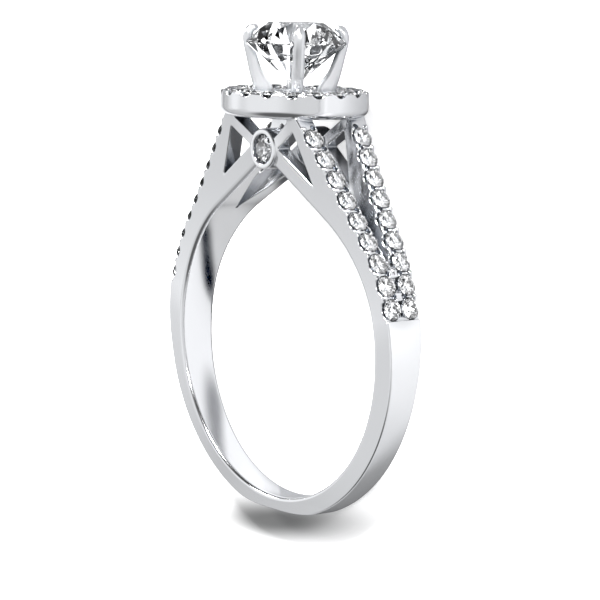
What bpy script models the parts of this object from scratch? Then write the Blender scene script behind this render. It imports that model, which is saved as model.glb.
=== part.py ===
"""Halo ring with a split shoulder, four claws and a pierced gallery.

The ring is modelled standing up, as a setter holds it, and is then laid on its
back. While it stands, +X runs across the shoulders, -Y is the front of the
finger hole and +Z points to the centre stone, with the middle of the finger
hole at the origin. All the soldered metal is one solid, called mount, and the
halo's field of small stones is fused into it. The centre stone, the two
gallery stones and the thirty-six shoulder stones are pieces of their own.
"""

import math

import bmesh
import bpy
from mathutils import Matrix, Vector

MM = 0.001

# Band
FINGER_RADIUS = 8.65 * MM
BAND_SIDE_THICKNESS = 1.35 * MM
BAND_OUTER_RISE = 0.27 * MM
BAND_FLAT_CUT = 0.28 * MM
BAND_HALF_WIDTH_BOTTOM = 0.93 * MM
BAND_HALF_WIDTH_SIDE = 1.17 * MM
BAND_SIDE_LEAN = 0.20 * MM
INNER_EDGE_ROUND = 0.24 * MM
OUTER_EDGE_CHAMFER = 0.07 * MM
LEDGE_ANGLE = math.radians(76.0)
LEDGE_STEP = 0.12 * MM

# Shoulders: straight lines that leave the band's circle and rise to the halo
SHOULDER_LINE_ANGLE = math.radians(53.8)
WALL_HALF_AT_LEDGE = 1.17 * MM
WALL_HALF_AT_HALO = 2.42 * MM
WALL_FLARE = 1.6
WALL_FLARE_START_ANGLE = math.radians(15.0)
RAIL_WIDTH = 1.12 * MM
GROOVE_START_ANGLE = math.radians(62.0)
GROOVE_START_TAPER = math.radians(7.0)
SLOT_TIP_ANGLE = math.radians(35.5)
SLOT_HALF_AT_TOP = 1.15 * MM
SLOT_OPENING_RATE = 1.45
GROOVE_FLOOR_HALF = 0.04 * MM
GAP_SECTIONS = 35

# Arch of the finger hole under the head
ARCH_LINE_ANGLE = math.radians(33.5)

# Trellis in the front and back walls
LOWER_LEG_WIDTH = 1.12 * MM
UPPER_LEG_WIDTH = 0.66 * MM
UPPER_LEG_DROP = 0.60 * MM
RAIL_DEPTH_AT_FOOT = 1.58 * MM
RAIL_DEPTH_AT_HALO = 0.92 * MM

# Gallery bezels
BEZEL_DROP = 1.78 * MM
BEZEL_OUTER_RADIUS = 1.13 * MM
BEZEL_PROUD = 0.12 * MM
BEZEL_DEPTH = 1.15 * MM
BEZEL_EDGE_CHAMFER = 0.10 * MM
GALLERY_STONE_DIAMETER = 1.54 * MM

# Halo
HEAD_RISE = 3.93 * MM
HALO_HEIGHT = 1.36 * MM
HALO_RADIUS = 4.07 * MM
HALO_HOLE_RADIUS = 1.15 * MM
HALO_EDGE_ROUND = 0.48 * MM
HALO_TOP_CHAMFER = 0.06 * MM
HALO_SIDES = 48
HALO_STONE_COUNT = 18
HALO_STONE_DIAMETER = 1.10 * MM
HALO_RIM = 0.12 * MM
HALO_STONE_RAISE = 0.8

# Shoulder stones
SHOULDER_STONE_DIAMETER = 1.14 * MM
SHOULDER_STONES_PER_RAIL = 9
SHOULDER_STONE_PITCH = 1.29 * MM
FIRST_STONE_FROM_LEDGE = 0.62 * MM
SHOULDER_STONE_LIFT = 0.20 * MM

# Centre stone and its claws
CENTRE_STONE_DIAMETER = 5.42 * MM
CULET_ABOVE_HALO = 0.22 * MM
CLAW_COUNT = 4
CLAW_TURN = math.radians(55.5)
CLAW_WIDTH = 0.66 * MM
CLAW_BASE_INNER = 1.25 * MM
CLAW_BASE_OUTER = 2.24 * MM
CLAW_WALL = 0.19 * MM
CLAW_TIP_REACH = 0.58 * MM
CLAW_TIP_DROP = 0.06 * MM
CLAW_EDGE_ROUND = 0.12 * MM

# The claw's hook, in from its outer face and down from its top, as shares of its reach
CLAW_HOOK = ((0.0, 0.53), (0.24, 0.10), (0.69, 0.0), (1.10, 0.14), (1.28, 0.38), (1.0, 0.86))

# Brilliant cut, as shares of the stone's own diameter
CUT_TABLE = 0.56
CUT_CROWN = 0.15
CENTRE_CROWN = 0.19
CUT_GIRDLE = 0.025
CUT_PAVILION = 0.43

# Fits
STONE_CLEARANCE = 0.03 * MM
WELD_DEPTH = 0.30 * MM
CUT_PAST = 0.60 * MM
SEAT_SIDES = 12
SEAT_THROAT = 0.55

# Sizes that follow from the ones above
BAND_OUTER_RADIUS = FINGER_RADIUS + BAND_SIDE_THICKNESS
BAND_FLAT = BAND_OUTER_RADIUS - BAND_OUTER_RISE - BAND_FLAT_CUT
HALO_BOTTOM = FINGER_RADIUS + HEAD_RISE
BEZEL_HEIGHT = HALO_BOTTOM - BEZEL_DROP

METAL_LOOK = ((0.86, 0.86, 0.87), 0.10, 1.0)
STONE_LOOK = ((0.95, 0.96, 0.97), 0.02, 0.0)


def clear_scene():
    """Remove every object of the open file."""
    for thing in list(bpy.data.objects):
        bpy.data.objects.remove(thing, do_unlink=True)


def new_collection(name):
    """Make a collection under the scene's own."""
    group = bpy.data.collections.new(name)
    bpy.context.scene.collection.children.link(group)
    return group


def new_material(name, look):
    """Make a plain material from a colour, a roughness and a metallic value."""
    colour, roughness, metallic = look
    material = bpy.data.materials.new(name)
    material.use_nodes = True
    shader = material.node_tree.nodes["Principled BSDF"]
    shader.inputs["Base Color"].default_value = (*colour, 1.0)
    shader.inputs["Roughness"].default_value = roughness
    shader.inputs["Metallic"].default_value = metallic
    return material


def finished_mesh(shape, name):
    """Turn a bmesh into a mesh with its faces pointing out."""
    bmesh.ops.recalc_face_normals(shape, faces=shape.faces)
    mesh = bpy.data.meshes.new(name)
    shape.to_mesh(mesh)
    shape.free()
    return mesh


def add_object(name, mesh, group, material=None):
    """Link an object for a mesh into a collection."""
    thing = bpy.data.objects.new(name, mesh)
    group.objects.link(thing)
    if material is not None:
        mesh.materials.clear()
        mesh.materials.append(material)
    return thing


def add_cutter(name, mesh, group):
    """Link a cutter or a joining piece that isn't itself a part."""
    thing = add_object(name, mesh, group)
    thing.hide_render = True
    thing.display_type = "WIRE"
    return thing


def loft(name, sections, closed):
    """Skin a row of sections that have the same number of points."""
    shape = bmesh.new()
    rows = [[shape.verts.new(point) for point in section] for section in sections]
    count = len(rows[0])
    pairs = list(zip(rows, rows[1:]))
    if closed:
        pairs.append((rows[-1], rows[0]))
    for one, two in pairs:
        for i in range(count):
            j = (i + 1) % count
            shape.faces.new((one[i], one[j], two[j], two[i]))
    if not closed:
        shape.faces.new(rows[0])
        shape.faces.new(rows[-1])
    bmesh.ops.triangulate(shape, faces=shape.faces)
    return finished_mesh(shape, name)


def turned(name, profile, segments):
    """Spin a profile of radius and height about the Z axis into a closed solid."""
    shape = bmesh.new()
    points = [shape.verts.new((radius, 0.0, height)) for radius, height in profile]
    edges = [shape.edges.new(pair) for pair in zip(points, points[1:])]
    if profile[0][0] > 0.0:
        edges.append(shape.edges.new((points[-1], points[0])))
    bmesh.ops.spin(
        shape,
        geom=points + edges,
        axis=(0.0, 0.0, 1.0),
        cent=(0.0, 0.0, 0.0),
        steps=segments,
        angle=math.tau,
        use_merge=True,
    )
    bmesh.ops.remove_doubles(shape, verts=shape.verts, dist=0.0001 * MM)
    return finished_mesh(shape, name)


def prism(name, outline, half_depth, edge_round=0.0):
    """Raise a flat outline in X and Z into a bar that runs along Y."""
    shape = bmesh.new()
    ring = [shape.verts.new((x, -half_depth, z)) for x, z in outline]
    face = shape.faces.new(ring)
    raised = bmesh.ops.extrude_face_region(shape, geom=[face])
    moved = [part for part in raised["geom"] if isinstance(part, bmesh.types.BMVert)]
    bmesh.ops.translate(shape, verts=moved, vec=(0.0, 2.0 * half_depth, 0.0))
    bmesh.ops.recalc_face_normals(shape, faces=shape.faces)
    if edge_round > 0.0:
        rims = [edge for edge in shape.edges if abs(edge.verts[0].co.y - edge.verts[1].co.y) < MM * 0.01]
        bmesh.ops.bevel(
            shape, geom=rims, offset=edge_round, segments=1, affect="EDGES", clamp_overlap=True
        )
    return finished_mesh(shape, name)


def gathered(name, pieces):
    """Put copies of meshes, each under its own matrix, in one mesh."""
    shape = bmesh.new()
    for mesh, matrix in pieces:
        before = len(shape.verts)
        shape.from_mesh(mesh)
        shape.verts.ensure_lookup_table()
        bmesh.ops.transform(shape, matrix=matrix, verts=shape.verts[before:])
    mesh = bpy.data.meshes.new(name)
    shape.to_mesh(mesh)
    shape.free()
    return mesh


def wheel(radius, height, count, turn=0.0):
    """Points of an even wheel about the Z axis."""
    step = math.tau / count
    return [
        Vector((radius * math.cos(turn + step * i), radius * math.sin(turn + step * i), height))
        for i in range(count)
    ]


def small_brilliant(name, diameter, grow=0.0):
    """A small round stone with eight crown and eight pavilion facets, table at zero."""
    girdle = diameter / 2.0 + grow
    crown = CUT_CROWN * diameter + grow
    band = CUT_GIRDLE * diameter
    depth = CUT_PAVILION * diameter + 1.5 * grow
    shape = bmesh.new()
    rows = [
        wheel(CUT_TABLE * girdle, grow, 8),
        wheel(girdle, grow - crown, 8),
        wheel(girdle, grow - crown - band, 8),
    ]
    rings = [[shape.verts.new(point) for point in row] for row in rows]
    culet = shape.verts.new((0.0, 0.0, grow - crown - band - depth))
    shape.faces.new(rings[0])
    for one, two in zip(rings, rings[1:]):
        for i in range(8):
            shape.faces.new((one[i], one[(i + 1) % 8], two[(i + 1) % 8], two[i]))
    for i in range(8):
        shape.faces.new((rings[2][i], rings[2][(i + 1) % 8], culet))
    return finished_mesh(shape, name)


def full_brilliant(name, diameter, grow=0.0):
    """A round brilliant with star, kite and half facets, its girdle's middle at zero."""
    girdle = diameter / 2.0 + grow
    half_band = CUT_GIRDLE * diameter / 2.0
    crown = half_band + CENTRE_CROWN * diameter + grow
    depth = half_band + CUT_PAVILION * diameter + 1.5 * grow
    eighth = math.tau / 8.0
    table = wheel(CUT_TABLE * girdle, crown, 8)
    star = wheel(0.77 * girdle, half_band + 0.55 * (crown - half_band), 8, eighth / 2.0)
    top = wheel(girdle, half_band, 16)
    bottom = wheel(girdle, -half_band, 16)
    low = wheel(0.24 * girdle, -half_band - 0.79 * (depth - half_band), 8, eighth / 2.0)
    shape = bmesh.new()
    table, star, top, bottom, low = (
        [shape.verts.new(point) for point in row] for row in (table, star, top, bottom, low)
    )
    culet = shape.verts.new((0.0, 0.0, -depth))
    shape.faces.new(table)
    for i in range(8):
        j = (i + 1) % 8
        before = star[i - 1]
        shape.faces.new((table[i], table[j], star[i]))
        shape.faces.new((table[i], star[i], top[2 * i]))
        shape.faces.new((table[i], top[2 * i], before))
        shape.faces.new((star[i], top[2 * i + 1], top[2 * i]))
        shape.faces.new((star[i], top[2 * j], top[2 * i + 1]))
        shape.faces.new((low[i], bottom[2 * i], bottom[2 * i + 1]))
        shape.faces.new((low[i], bottom[2 * i + 1], bottom[2 * j]))
        shape.faces.new((low[i - 1], bottom[2 * i], low[i]))
        shape.faces.new((low[i - 1], low[i], culet))
    for i in range(16):
        j = (i + 1) % 16
        shape.faces.new((top[i], top[j], bottom[j], bottom[i]))
    return finished_mesh(shape, name)


def seat_profile(diameter, above):
    """Profile of the hole that a round stone drops into, table at zero."""
    reach = (diameter / 2.0 + STONE_CLEARANCE) / math.cos(math.pi / SEAT_SIDES)
    shelf = -(CUT_CROWN + CUT_GIRDLE) * diameter - STONE_CLEARANCE
    drop = CUT_PAVILION * diameter
    throat = SEAT_THROAT * reach
    floor = shelf - drop - STONE_CLEARANCE
    neck = shelf - drop * (1.0 - throat / reach)
    return [(0.0, above), (reach, above), (reach, shelf), (throat, neck), (throat, floor), (0.0, floor)]


def polar(radius, angle):
    """X and Z of a point at an angle from the top of the finger hole."""
    return radius * math.sin(angle), radius * math.cos(angle)


def inner_radius(angle):
    """Finger hole: a circle with two tangent lines that meet under the head."""
    off = min(0.0, abs(angle) - ARCH_LINE_ANGLE)
    return FINGER_RADIUS / math.cos(off)


def band_radius(angle):
    """Outside of the plain band, with its flat at the bottom."""
    rise = BAND_OUTER_RISE
    radius = rise * math.cos(angle) + math.sqrt(BAND_OUTER_RADIUS**2 - (rise * math.sin(angle)) ** 2)
    if -radius * math.cos(angle) > BAND_FLAT:
        radius = BAND_FLAT / -math.cos(angle)
    return radius


SHOULDER_LINE = BAND_OUTER_RADIUS + BAND_OUTER_RISE * math.cos(SHOULDER_LINE_ANGLE) - LEDGE_STEP
LEDGE_HEIGHT = polar(band_radius(LEDGE_ANGLE), LEDGE_ANGLE)[1]


def rail_radius(angle):
    """Outside of the stone rails, which follow the circle and then a straight line."""
    if abs(angle) > SHOULDER_LINE_ANGLE:
        return band_radius(angle) - LEDGE_STEP
    return SHOULDER_LINE / math.cos(abs(angle) - SHOULDER_LINE_ANGLE)


def outer_radius(angle):
    """Outside of the whole shank, up to where it is soldered into the halo."""
    if abs(angle) >= LEDGE_ANGLE:
        return band_radius(angle)
    top = (HALO_BOTTOM + WELD_DEPTH) / math.cos(angle) if abs(angle) < 1.2 else 1.0
    return min(rail_radius(angle), top)


def wall_half(height):
    """Half the distance between the front and back walls at a height."""
    share = max(0.0, (height - LEDGE_HEIGHT) / (HALO_BOTTOM - LEDGE_HEIGHT))
    return WALL_HALF_AT_LEDGE + (WALL_HALF_AT_HALO - WALL_HALF_AT_LEDGE) * share**WALL_FLARE


def face_height(x, height):
    """Height that sets the wall's width: the wall stops flaring between the rails."""
    share = min(1.0, abs(x) / (SHOULDER_LINE * math.sin(WALL_FLARE_START_ANGLE)))
    return min(height, BEZEL_HEIGHT + max(0.0, height - BEZEL_HEIGHT) * share)


def band_half(height):
    """Half the band's inside width, widest at the sides."""
    share = min(1.0, max(0.0, (height + FINGER_RADIUS) / FINGER_RADIUS))
    return BAND_HALF_WIDTH_BOTTOM + (BAND_HALF_WIDTH_SIDE - BAND_HALF_WIDTH_BOTTOM) * share


def shank_section(angle):
    """One cross-section of the shank as points in space."""
    inner = inner_radius(angle)
    outer = outer_radius(angle)
    inner_height = inner * math.cos(angle)
    outer_height = outer * math.cos(angle)
    half_in = max(band_half(inner_height), wall_half(inner_height))
    if abs(angle) >= LEDGE_ANGLE:
        half_out = band_half(outer_height) - BAND_SIDE_LEAN
    else:
        half_out = wall_half(face_height(outer * math.sin(angle), outer_height))
    curl = INNER_EDGE_ROUND * (1.0 - math.sqrt(0.5))
    edge = OUTER_EDGE_CHAMFER
    side = [
        (inner, half_in - INNER_EDGE_ROUND),
        (inner + curl, half_in - curl),
        (inner + INNER_EDGE_ROUND, half_in),
        (outer - edge, half_out),
        (outer, half_out - edge),
    ]
    points = [(radius, -half) for radius, half in side] + list(reversed(side))
    return [Vector((radius * math.sin(angle), half, radius * math.cos(angle))) for radius, half in points]


def shank_angles():
    """Angles of the cross-sections, closer together where the outline turns."""
    weld = math.acos(min(1.0, SHOULDER_LINE / (HALO_BOTTOM + WELD_DEPTH)))
    for _ in range(40):
        weld = math.atan(polar(rail_radius(weld), weld)[0] / (HALO_BOTTOM + WELD_DEPTH))
    corner = math.acos((BAND_FLAT + BAND_OUTER_RISE) / BAND_OUTER_RADIUS)
    flat_end = math.atan2(BAND_OUTER_RADIUS * math.sin(corner), BAND_FLAT)
    marks = [
        (0.0, 2),
        (weld, 5),
        (ARCH_LINE_ANGLE, 5),
        (SHOULDER_LINE_ANGLE, 5),
        (LEDGE_ANGLE - 0.002, 1),
        (LEDGE_ANGLE, 14),
        (math.pi - flat_end, 3),
        (math.pi, 0),
    ]
    half = []
    for (start, steps), (end, _) in zip(marks, marks[1:]):
        half += [start + (end - start) * i / steps for i in range(steps)]
    half.append(math.pi)
    return half + [-angle for angle in reversed(half[1:-1])]


def make_shank():
    """The shank as one closed loop of cross-sections."""
    return loft("shank", [shank_section(angle) for angle in shank_angles()], closed=True)


def slot_half(angle):
    """Half the slot between the two arches, on the finger side."""
    share = max(0.0, 1.0 - abs(angle) / SLOT_TIP_ANGLE)
    return max(GROOVE_FLOOR_HALF, SLOT_HALF_AT_TOP * min(1.0, SLOT_OPENING_RATE * share))


def groove_half(angle):
    """Half the gap between the two rails, on their outer side."""
    height = rail_radius(angle) * math.cos(angle)
    close = min(1.0, max(0.0, (GROOVE_START_ANGLE - abs(angle)) / GROOVE_START_TAPER))
    return max(GROOVE_FLOOR_HALF, (wall_half(height) - RAIL_WIDTH) * close)


def make_gap():
    """The space between the front and back walls: a slot under the head, a groove below."""
    sections = []
    for i in range(GAP_SECTIONS):
        angle = GROOVE_START_ANGLE * (2.0 * i / (GAP_SECTIONS - 1) - 1.0)
        inner = inner_radius(angle)
        outer = min(rail_radius(angle), (HALO_BOTTOM + WELD_DEPTH) / math.cos(angle))
        if abs(angle) > SLOT_TIP_ANGLE:
            share = (abs(angle) - SLOT_TIP_ANGLE) / (GROOVE_START_ANGLE - SLOT_TIP_ANGLE)
            floor = inner + (outer - inner) * share
            low = GROOVE_FLOOR_HALF
        else:
            floor = inner
            low = slot_half(angle)
        high = groove_half(angle)
        slope = (high - low) / max(outer - floor, 0.05 * MM)
        bottom = floor - (CUT_PAST if abs(angle) <= SLOT_TIP_ANGLE else 0.0)
        top = outer + CUT_PAST
        low_half = max(GROOVE_FLOOR_HALF, low + slope * (bottom - floor))
        high_half = max(GROOVE_FLOOR_HALF, high + min(slope, 0.5) * CUT_PAST)
        ring = [(bottom, -low_half), (top, -high_half), (top, high_half), (bottom, low_half)]
        sections.append(
            [Vector((radius * math.sin(angle), half, radius * math.cos(angle))) for radius, half in ring]
        )
    return loft("gap", sections, closed=False)


def meet(line_one, line_two):
    """Crossing of two lines, each given by the angle of its normal and its distance."""
    (angle_one, one), (angle_two, two) = line_one, line_two
    turn = math.sin(angle_one) * math.cos(angle_two) - math.cos(angle_one) * math.sin(angle_two)
    x = (one * math.cos(angle_two) - two * math.cos(angle_one)) / turn
    z = (two * math.sin(angle_one) - one * math.sin(angle_two)) / turn
    return x, z


def trellis_outlines():
    """Outlines of the three openings that leave the crossed legs standing."""
    axis = BEZEL_HEIGHT * math.cos(ARCH_LINE_ANGLE)
    lower_leg = (ARCH_LINE_ANGLE, FINGER_RADIUS + LOWER_LEG_WIDTH)
    upper_leg_low = (-ARCH_LINE_ANGLE, axis - UPPER_LEG_DROP)
    upper_leg_high = (-ARCH_LINE_ANGLE, axis - UPPER_LEG_DROP + UPPER_LEG_WIDTH)
    rail_foot = (SHOULDER_LINE_ANGLE, SHOULDER_LINE + LEDGE_STEP - RAIL_DEPTH_AT_FOOT)
    rail_top = (SHOULDER_LINE_ANGLE, SHOULDER_LINE + LEDGE_STEP - RAIL_DEPTH_AT_HALO)
    side = [meet(lower_leg, upper_leg_low), meet(upper_leg_low, rail_top), meet(lower_leg, rail_foot)]
    notch = (0.0, upper_leg_high[1] / math.cos(ARCH_LINE_ANGLE))
    bend = meet(upper_leg_high, rail_top)
    lid = HALO_BOTTOM + WELD_DEPTH + CUT_PAST
    middle = [notch, bend, (bend[0], lid), (-bend[0], lid), (-bend[0], bend[1])]
    mirrored = [(-x, z) for x, z in reversed(side)]
    return [side, mirrored, middle]


def make_openings():
    """Bars that pierce both walls."""
    reach = WALL_HALF_AT_HALO + CUT_PAST
    bars = [prism("opening", outline, reach) for outline in trellis_outlines()]
    return gathered("openings", [(bar, Matrix.Identity(4)) for bar in bars])


def bezel_face():
    """Distance of a bezel's rim from the ring's middle plane."""
    return wall_half(BEZEL_HEIGHT) + BEZEL_PROUD


def bezel_matrix(side):
    """Frame of a bezel's rim with its own +Z pointing out of the wall."""
    turn = Matrix.Rotation(math.radians(90.0) * -side, 4, "X")
    return Matrix.Translation((0.0, side * bezel_face(), BEZEL_HEIGHT)) @ turn


def make_bezels():
    """Two short tubes, open behind, one in each wall."""
    rim = BEZEL_OUTER_RADIUS
    edge = BEZEL_EDGE_CHAMFER
    profile = [(0.0, 0.0), (rim - edge, 0.0), (rim, -edge), (rim, -BEZEL_DEPTH), (0.0, -BEZEL_DEPTH)]
    tube = turned("bezel", profile, 24)
    tube.transform(Matrix.Rotation(math.radians(4.0), 4, "Z"))
    return gathered("bezels", [(tube, bezel_matrix(side)) for side in (-1.0, 1.0)])


def make_halo():
    """The halo's plate, rounded under its outer edge."""
    top = HALO_BOTTOM + HALO_HEIGHT
    edge = HALO_EDGE_ROUND
    chamfer = HALO_TOP_CHAMFER
    profile = [(HALO_HOLE_RADIUS, top), (HALO_RADIUS - chamfer, top), (HALO_RADIUS, top - chamfer)]
    for i in range(5):
        turn = math.radians(90.0) * i / 4.0
        profile.append(
            (HALO_RADIUS - edge + edge * math.cos(turn), HALO_BOTTOM + edge - edge * math.sin(turn))
        )
    profile.append((HALO_HOLE_RADIUS, HALO_BOTTOM))
    plate = turned("halo", profile, HALO_SIDES)
    plate.transform(Matrix.Rotation(math.tau / HALO_SIDES / 3.0, 4, "Z"))
    return plate


def halo_stone_matrices():
    """Places of the halo's stones, tables just above the plate."""
    radius = HALO_RADIUS - HALO_RIM - HALO_STONE_DIAMETER / 2.0
    top = HALO_BOTTOM + HALO_HEIGHT + CUT_CROWN * HALO_STONE_DIAMETER * HALO_STONE_RAISE
    step = math.tau / HALO_STONE_COUNT
    places = []
    for i in range(HALO_STONE_COUNT):
        x = radius * math.cos(step * i)
        y = radius * math.sin(step * i)
        places.append(Matrix.Translation((x, y, top)) @ Matrix.Rotation(step * i, 4, "Z"))
    return places


def centre_height():
    """Height of the middle of the centre stone's girdle."""
    depth = (CUT_PAVILION + CUT_GIRDLE / 2.0) * CENTRE_STONE_DIAMETER
    return HALO_BOTTOM + HALO_HEIGHT + CULET_ABOVE_HALO + depth


def claw_outline():
    """Side view of a claw as radius and height: broad at the foot, hooked over the crown."""
    foot = HALO_BOTTOM + HALO_HEIGHT
    girdle = centre_height()
    wide = CENTRE_STONE_DIAMETER / 2.0 + CLAW_WALL
    tip = girdle + (CUT_GIRDLE / 2.0 + CENTRE_CROWN) * CENTRE_STONE_DIAMETER - CLAW_TIP_DROP
    rise = girdle - foot
    lean = wide - CLAW_BASE_OUTER
    outer = [(CLAW_BASE_OUTER + lean * share**0.8, foot + rise * share) for share in (0.0, 0.33, 0.66, 1.0)]
    hook = [(wide - CLAW_TIP_REACH * inward, tip - CLAW_TIP_REACH * down) for inward, down in CLAW_HOOK]
    inner = [(wide - 0.62 * MM, girdle - 0.35 * MM), (CLAW_BASE_INNER + 0.55 * MM, foot + 0.45 * rise)]
    base = [(CLAW_BASE_INNER, foot), (CLAW_BASE_INNER, foot - WELD_DEPTH), (CLAW_BASE_OUTER, foot - WELD_DEPTH)]
    return outer + hook + inner + base


def make_claws():
    """Four claws about the head's axis."""
    claw = prism("claw", claw_outline(), CLAW_WIDTH / 2.0, CLAW_EDGE_ROUND)
    places = []
    for i in range(CLAW_COUNT):
        turn = CLAW_TURN - math.radians(90.0) + math.tau * i / CLAW_COUNT
        places.append((claw, Matrix.Rotation(turn, 4, "Z")))
    return gathered("claws", places)


def rail_point(length):
    """Point and outward direction on a rail, by the length measured from the ledge."""
    ledge = LEDGE_ANGLE
    arc_end = SHOULDER_LINE_ANGLE
    arc_radius = BAND_OUTER_RADIUS - LEDGE_STEP
    centre = Vector((0.0, BAND_OUTER_RISE))
    start = math.atan2(*(Vector(polar(rail_radius(ledge), ledge)) - centre))
    arc = arc_radius * (start - arc_end)
    if length < arc:
        turn = start - length / arc_radius
        normal = Vector((math.sin(turn), math.cos(turn)))
        return centre + arc_radius * normal, normal
    normal = Vector((math.sin(arc_end), math.cos(arc_end)))
    along = Vector((-math.cos(arc_end), math.sin(arc_end)))
    return centre + arc_radius * normal + (length - arc) * along, normal


def shoulder_stone_matrix(across, side, number):
    """Frame of a shoulder stone's table: across is right or left, side back or front."""
    length = FIRST_STONE_FROM_LEDGE + SHOULDER_STONE_PITCH * number
    point, normal = rail_point(length)
    ahead = rail_point(length + 0.1 * MM)[0]
    offset = wall_half(point.y) - RAIL_WIDTH / 2.0
    offset_ahead = wall_half(ahead.y) - RAIL_WIDTH / 2.0
    along = Vector((across * (ahead.x - point.x), side * (offset_ahead - offset), ahead.y - point.y))
    out = Vector((across * normal.x, 0.0, normal.y))
    out = (out - out.project(along)).normalized()
    along.normalize()
    third = out.cross(along)
    matrix = Matrix((along, third, out)).transposed().to_4x4()
    matrix.translation = Vector((across * point.x, side * offset, point.y)) + SHOULDER_STONE_LIFT * out
    return matrix


def shoulder_places():
    """Name, frame and set of every shoulder stone: neighbours are never in one set."""
    places = []
    for across, hand in ((1.0, "right"), (-1.0, "left")):
        for side, face in ((-1.0, "front"), (1.0, "back")):
            for number in range(SHOULDER_STONES_PER_RAIL):
                name = f"shoulder_stone_{hand}_{face}_{number + 1}"
                half = (number + int(side > 0.0)) % 2
                places.append((name, shoulder_stone_matrix(across, side, number), half))
    return places


def make_shoulder_seats(half):
    """Holes for one of the two sets of shoulder stones, with flat sides to their neighbours."""
    seat = turned("seat", seat_profile(SHOULDER_STONE_DIAMETER, CUT_PAST), SEAT_SIDES)
    seat.transform(Matrix.Rotation(math.pi / SEAT_SIDES, 4, "Z"))
    return gathered("shoulder_seats", [(seat, place) for _, place, own in shoulder_places() if own == half])


def make_gallery_seats():
    """Holes for the gallery stones, open to the back of their tubes."""
    gallery_profile = seat_profile(GALLERY_STONE_DIAMETER, CUT_PAST)
    throat = gallery_profile[3][0]
    gallery_profile[4] = (throat, -BEZEL_DEPTH - CUT_PAST)
    gallery_profile[5] = (0.0, -BEZEL_DEPTH - CUT_PAST)
    gallery = turned("gallery_seat", gallery_profile, SEAT_SIDES)
    return gathered("gallery_seats", [(gallery, bezel_matrix(side)) for side in (-1.0, 1.0)])


def add_boolean(thing, operation, operand):
    """Cut or join another mesh with an exact Boolean."""
    step = thing.modifiers.new(operand.name, "BOOLEAN")
    step.operation = operation
    step.solver = "EXACT"
    step.object = operand


def make_mount(parts, cutters):
    """All the soldered metal as one solid."""
    mount = add_object("mount", make_shank(), parts, new_material("white_metal", METAL_LOOK))
    halo_stone = small_brilliant("halo_stone", HALO_STONE_DIAMETER)
    halo_stones = gathered("halo_stones", [(halo_stone, place) for place in halo_stone_matrices()])
    centre = full_brilliant("centre_seat", CENTRE_STONE_DIAMETER, STONE_CLEARANCE)
    centre.transform(Matrix.Translation((0.0, 0.0, centre_height())))
    steps = [
        ("DIFFERENCE", "gap_cutter", make_gap()),
        ("DIFFERENCE", "opening_cutter", make_openings()),
        ("UNION", "bezel_tubes", make_bezels()),
        ("UNION", "halo_plate", make_halo()),
        ("UNION", "claw_set", make_claws()),
        ("UNION", "halo_stone_field", halo_stones),
        ("DIFFERENCE", "gallery_seats", make_gallery_seats()),
        ("DIFFERENCE", "shoulder_seats", make_shoulder_seats(0)),
        ("DIFFERENCE", "other_shoulder_seats", make_shoulder_seats(1)),
        ("DIFFERENCE", "centre_seat", centre),
    ]
    for operation, name, mesh in steps:
        add_boolean(mount, operation, add_cutter(name, mesh, cutters))
    return mount


def make_stones(parts):
    """The stones that are pieces of their own."""
    look = new_material("centre_stone_look", STONE_LOOK)
    centre = add_object("centre_stone", full_brilliant("centre_stone", CENTRE_STONE_DIAMETER), parts, look)
    centre.matrix_world = Matrix.Translation((0.0, 0.0, centre_height()))
    stones = [centre]
    look = new_material("gallery_stone_look", STONE_LOOK)
    for side, face in ((-1.0, "front"), (1.0, "back")):
        mesh = small_brilliant(f"gallery_stone_{face}", GALLERY_STONE_DIAMETER)
        stone = add_object(f"gallery_stone_{face}", mesh, parts, look)
        stone.matrix_world = bezel_matrix(side)
        stones.append(stone)
    look = new_material("shoulder_stone_look", STONE_LOOK)
    mesh = small_brilliant("shoulder_stone", SHOULDER_STONE_DIAMETER)
    for name, matrix, _ in shoulder_places():
        stone = add_object(name, mesh, parts, look)
        stone.matrix_world = matrix
        stones.append(stone)
    return stones


def rest_matrix(mount):
    """Lay the ring on its back, on its halo's rim and the foot of its band."""
    bpy.context.view_layer.update()
    evaluated = mount.evaluated_get(bpy.context.evaluated_depsgraph_get())
    points = [mount.matrix_world @ vertex.co for vertex in evaluated.data.vertices]
    low, high = 0.0, math.radians(30.0)
    for _ in range(60):
        tilt = (low + high) / 2.0
        depth = [(point.y * math.cos(tilt) - point.z * math.sin(tilt), point.z) for point in points]
        if max(depth)[1] > 0.0:
            low = tilt
        else:
            high = tilt
    turn = Matrix.Rotation(math.radians(-90.0) + low, 4, "X")
    laid = [turn @ point for point in points]
    lowest = min(point.z for point in laid)
    middle_x = (min(point.x for point in laid) + max(point.x for point in laid)) / 2.0
    middle_y = (min(point.y for point in laid) + max(point.y for point in laid)) / 2.0
    return Matrix.Translation((-middle_x, -middle_y, -lowest)) @ turn


def main():
    """Build the ring."""
    clear_scene()
    parts = new_collection("halo_ring")
    cutters = new_collection("cutters")
    mount = make_mount(parts, cutters)
    stones = make_stones(parts)
    rest = bpy.data.objects.new("rest", None)
    parts.objects.link(rest)
    rest.matrix_world = rest_matrix(mount)
    for thing in [mount] + stones + list(cutters.objects):
        thing.parent = rest
    bpy.context.view_layer.update()


main()
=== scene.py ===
"""Visual model of a halo ring with a split shank, dressed for a soft studio picture.

The ring's metal is described once, in millimetres and standing up, as a level
field: a function that is negative in metal and zero on its surface. A quarter of
the ring is meshed from it and mirrored, the claws are meshed the same way, and the
stones are cut from a blank one facet at a time. Everything is then laid down on the
floor as the solids of the frame are.
"""

import logging
import math
from dataclasses import dataclass, field
from enum import Enum
from typing import Callable, Iterable, NamedTuple

import bmesh
import bpy
import numpy as np
from bpy.types import ID, Material, Mesh, Node, NodeSocket, NodeTree, Object
from mathutils import Matrix, Vector


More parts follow.
